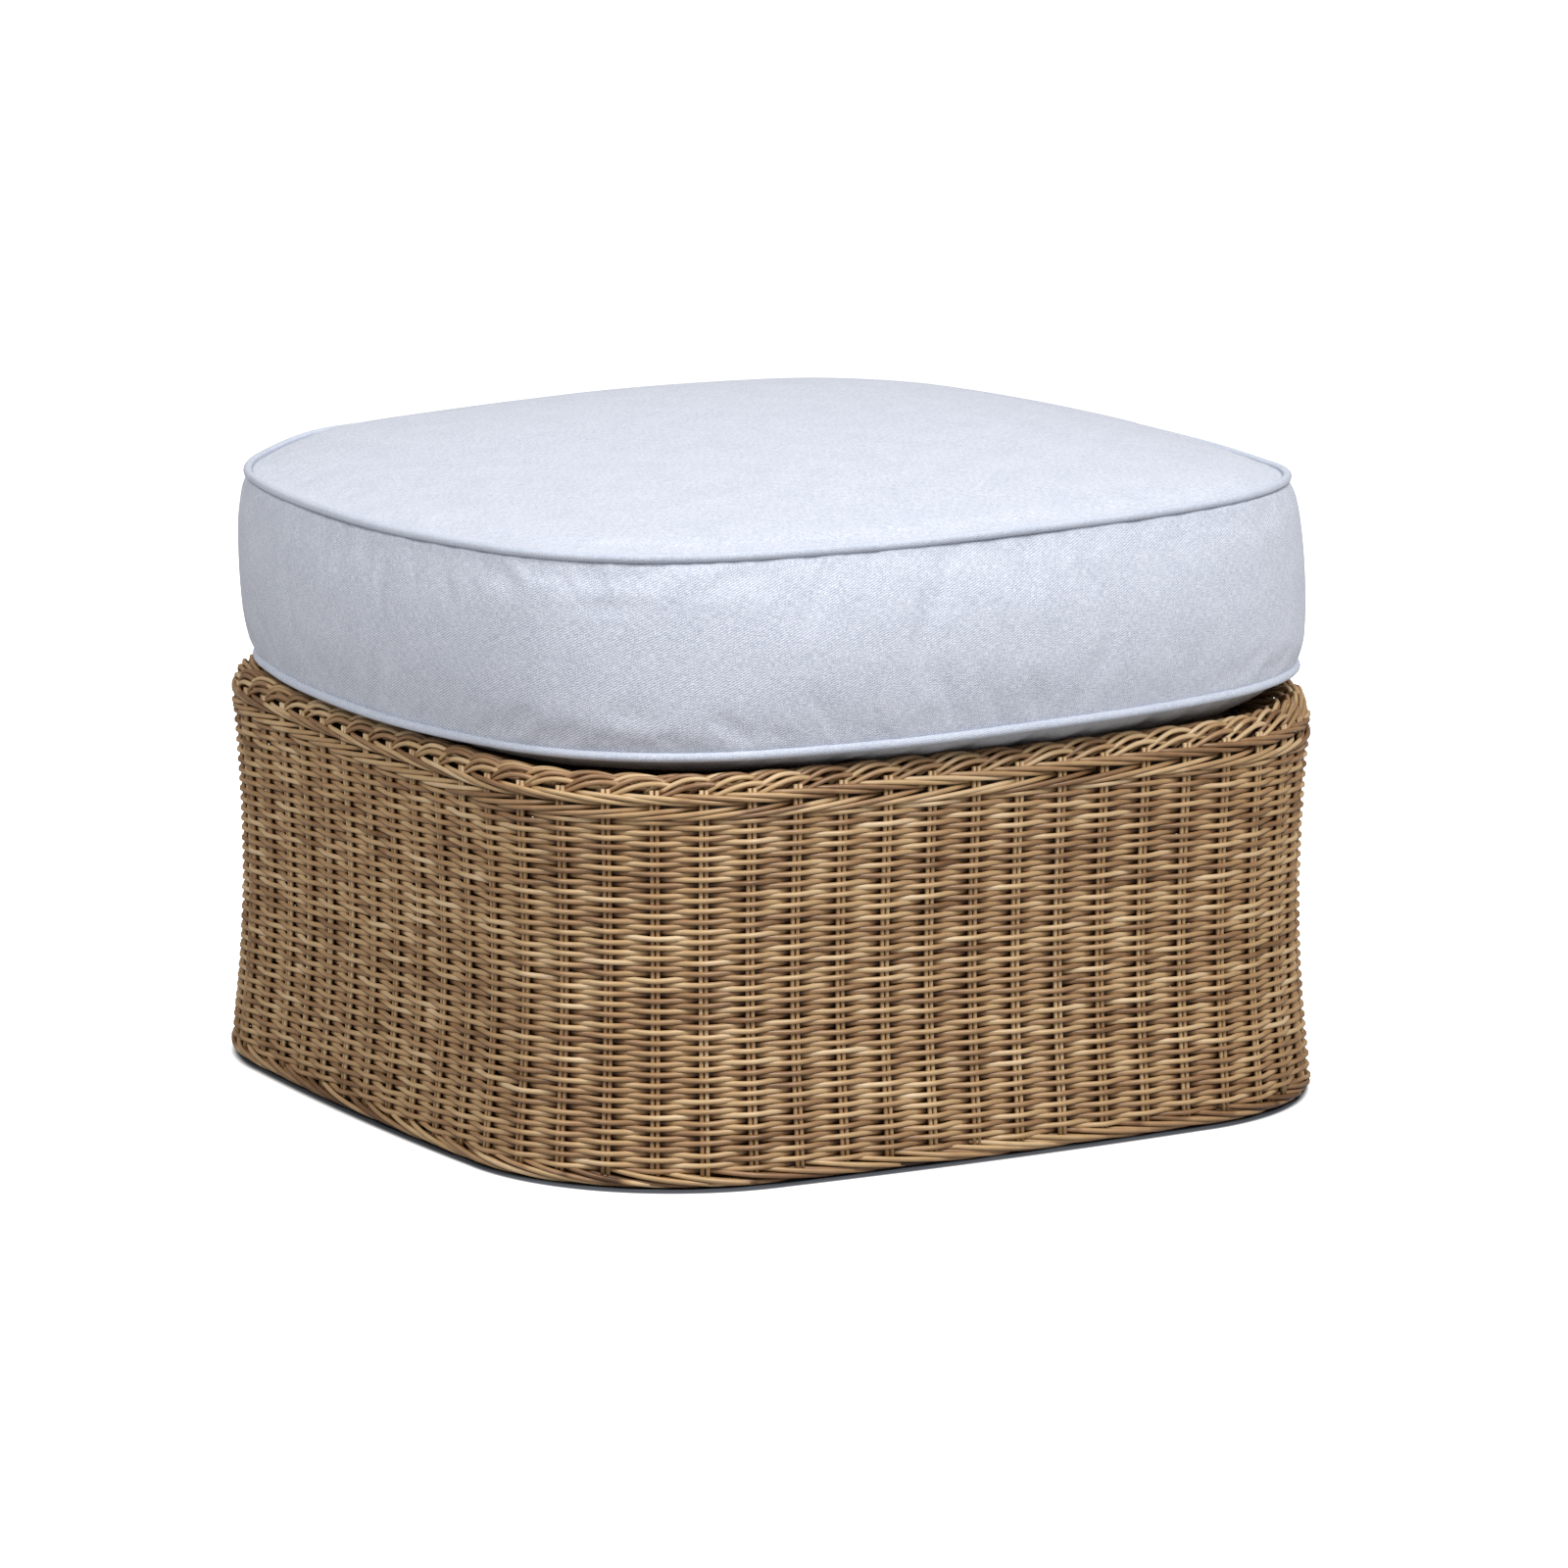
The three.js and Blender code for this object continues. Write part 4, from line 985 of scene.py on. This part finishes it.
def makePiping(name, height, node):
    count = piping["points"]
    distance = np.arange(count) / count * cushionOutline["girth"]
    waver = sum(np.sin(distance / length + turn) for length, turn in piping["waves"])
    inset = cushion["pipingSunk"] + waver * piping["waverAcross"]
    rise = np.roll(waver, piping["apart"]) * piping["waverUp"]
    run = lean(runAlong(cushionOutline, distance, inset, height + rise))
    thing = meshFromRuns(name, [run], piping["width"], piping["sides"] // 2 - 2, True)
    sides = len(thing.data.vertices) // count
    layCloth(thing, np.repeat(distance, sides), np.tile(np.arange(sides) / sides * piping["strip"], count))
    bpy.ops.object.shade_smooth()
    dress(thing, "cushion", "piping_fabric", pipingMaterial, node)


makeCushion()
makePiping("pipingTop", cushion["topSeam"], "piping_top")
makePiping("pipingBottom", cushion["bottomSeam"], "piping_bottom")
print("cushion cover and piping made")


# Filling: a foam block and two fibre wraps, shaped from the frame's own pieces

stuffing = {"crown": 0.94, "width": 0.985, "foamHeight": 0.985, "fibreHeight": 0.93, "foamEdge": 6 * mm}


def fillingFrom(node, name, slot, material, height, rounding=0.0):
    deselectAll()
    thing = frame["nodes"][node].copy()
    thing.data = thing.data.copy()
    thing.name = thing.data.name = name
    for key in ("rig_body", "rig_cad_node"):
        if key in thing:
            del thing[key]
    thing.parent = None
    thing.hide_render = thing.hide_viewport = False
    scene.collection.objects.link(thing)
    pick(thing)
    bpy.ops.object.mode_set(mode="EDIT")
    bpy.ops.mesh.select_all(action="SELECT")
    bpy.ops.mesh.remove_doubles(threshold=1e-5)
    bpy.ops.mesh.tris_convert_to_quads()
    bpy.ops.object.mode_set(mode="OBJECT")
    if rounding:
        addModifier(thing, "BEVEL", width=rounding, segments=3, limit_method="ANGLE", angle_limit=0.9)
    places = vertexPlaces(thing)
    middle = np.array([0, 0, places[:, 2].mean()])
    places = middle + (places - middle) * (stuffing["width"], stuffing["width"], height)
    above = np.maximum(0, places[:, 2] - cushion["topSeam"])
    places[:, 2] += above * (stuffing["crown"] * fullness(places[:, :2]) - 1)  # stays inside the cover
    placeVertices(thing, lean(places))
    bpy.ops.object.shade_smooth_by_angle(angle=0.7)
    dress(thing, "cushion", slot, material, node)


fillingFrom("foam_core", "foamBlock", "foam", foamMaterial, stuffing["foamHeight"], stuffing["foamEdge"])
fillingFrom("fibre_wrap_upper", "fibreUpper", "fibre", fibreMaterial, stuffing["fibreHeight"])
fillingFrom("fibre_wrap_lower", "fibreLower", "fibre", fibreMaterial, stuffing["fibreHeight"])


# Frame, glides and zip keep their own solids, with a better finish

finishes = [
    (frameMaterial, ["frame_top_ring", "frame_bottom_ring", "upright_", "deck_bar_"]),
    (nylonMaterial, ["glide_"]),
    (pipingMaterial, ["zip_tape_"]),
    (zipMaterial, ["zip_teeth", "zip_stop_", "zip_slider", "zip_pull"]),
]
for material, names in finishes:
    for name, thing in frame["nodes"].items():
        if any(name.startswith(start) for start in names):
            thing.data.materials.clear()
            thing.data.materials.append(material)
print("frame finished")


# Floor

contact = {
    "from": -4 * mm, "to": 6 * mm,  # the shadow's fade, mm out from the foot
    "forward": 12 * mm,  # towards the camera
    "dark": (0.085, 0.093, 0.107, 1), "bright": (3, 3, 3, 1),
}
floorLook = {"size": 7, "colour": (0.4, 0.4, 0.4, 1), "roughness": 0.8}

bpy.ops.mesh.primitive_plane_add(size=floorLook["size"], location=(0, 0, 0))
floor = bpy.context.object
floor.name = "studioFloor"
floorMaterial, floorTree, floorShader = newMaterial("paleFloor")
floorShader.inputs["Base Color"].default_value = floorLook["colour"]
floorShader.inputs["Roughness"].default_value = floorLook["roughness"]
seenFloor = addNode(floorTree, "ShaderNodeBsdfDiffuse")
floorRays = addNode(floorTree, "ShaderNodeLightPath")
floorMix = addNode(floorTree, "ShaderNodeMixShader")
floorTree.links.new(floorRays.outputs["Is Camera Ray"], floorMix.inputs[0])
floorTree.links.new(floorShader.outputs[0], floorMix.inputs[1])
floorTree.links.new(seenFloor.outputs[0], floorMix.inputs[2])
floorTree.links.new(floorMix.outputs[0], floorTree.nodes["Material Output"].inputs["Surface"])


def floorMath(operation, *values):
    return mathNode(floorTree, operation, *values)


# The camera sees a white floor, dark inside the base and in a thin line of shadow round its foot
floorPlace = addNode(floorTree, "ShaderNodeTexCoord")
floorParts = addNode(floorTree, "ShaderNodeSeparateXYZ")
floorTree.links.new(floorPlace.outputs["Object"], floorParts.inputs[0])
forward = (math.sin(az) * contact["forward"], -math.cos(az) * contact["forward"])
footX = floorMath("ABSOLUTE", floorMath("SUBTRACT", floorParts.outputs[0], forward[0]))
footY = floorMath("ABSOLUTE", floorMath("SUBTRACT", floorParts.outputs[1], forward[1]))
cornerMiddle = base["half"] - base["bow"] - base["cornerRadius"]
past = []
for along, across in ((footX, footY), (footY, footX)):
    bowed = floorMath("POWER", floorMath("MINIMUM", floorMath("DIVIDE", across, cornerMiddle), 1), 2)
    out = floorMath("ADD", along, floorMath("MULTIPLY", bowed, base["bow"]))
    past.append(floorMath("MAXIMUM", floorMath("SUBTRACT", out, base["half"] - base["cornerRadius"]), 0))
reach = floorMath("SQRT", floorMath("ADD", floorMath("POWER", past[0], 2), floorMath("POWER", past[1], 2)))
footShade = mapRange(floorTree, reach, {"From Min": base["cornerRadius"] + contact["from"],
                                        "From Max": base["cornerRadius"] + contact["to"]},
                     interpolation_type="SMOOTHSTEP")
floorTone = addNode(floorTree, "ShaderNodeMix", data_type="RGBA")
floorTone.inputs[6].default_value = contact["dark"]
floorTone.inputs[7].default_value = contact["bright"]
floorTree.links.new(footShade, floorTone.inputs[0])
floorTree.links.new(floorTone.outputs[2], seenFloor.inputs["Color"])
floor.data.materials.append(floorMaterial)
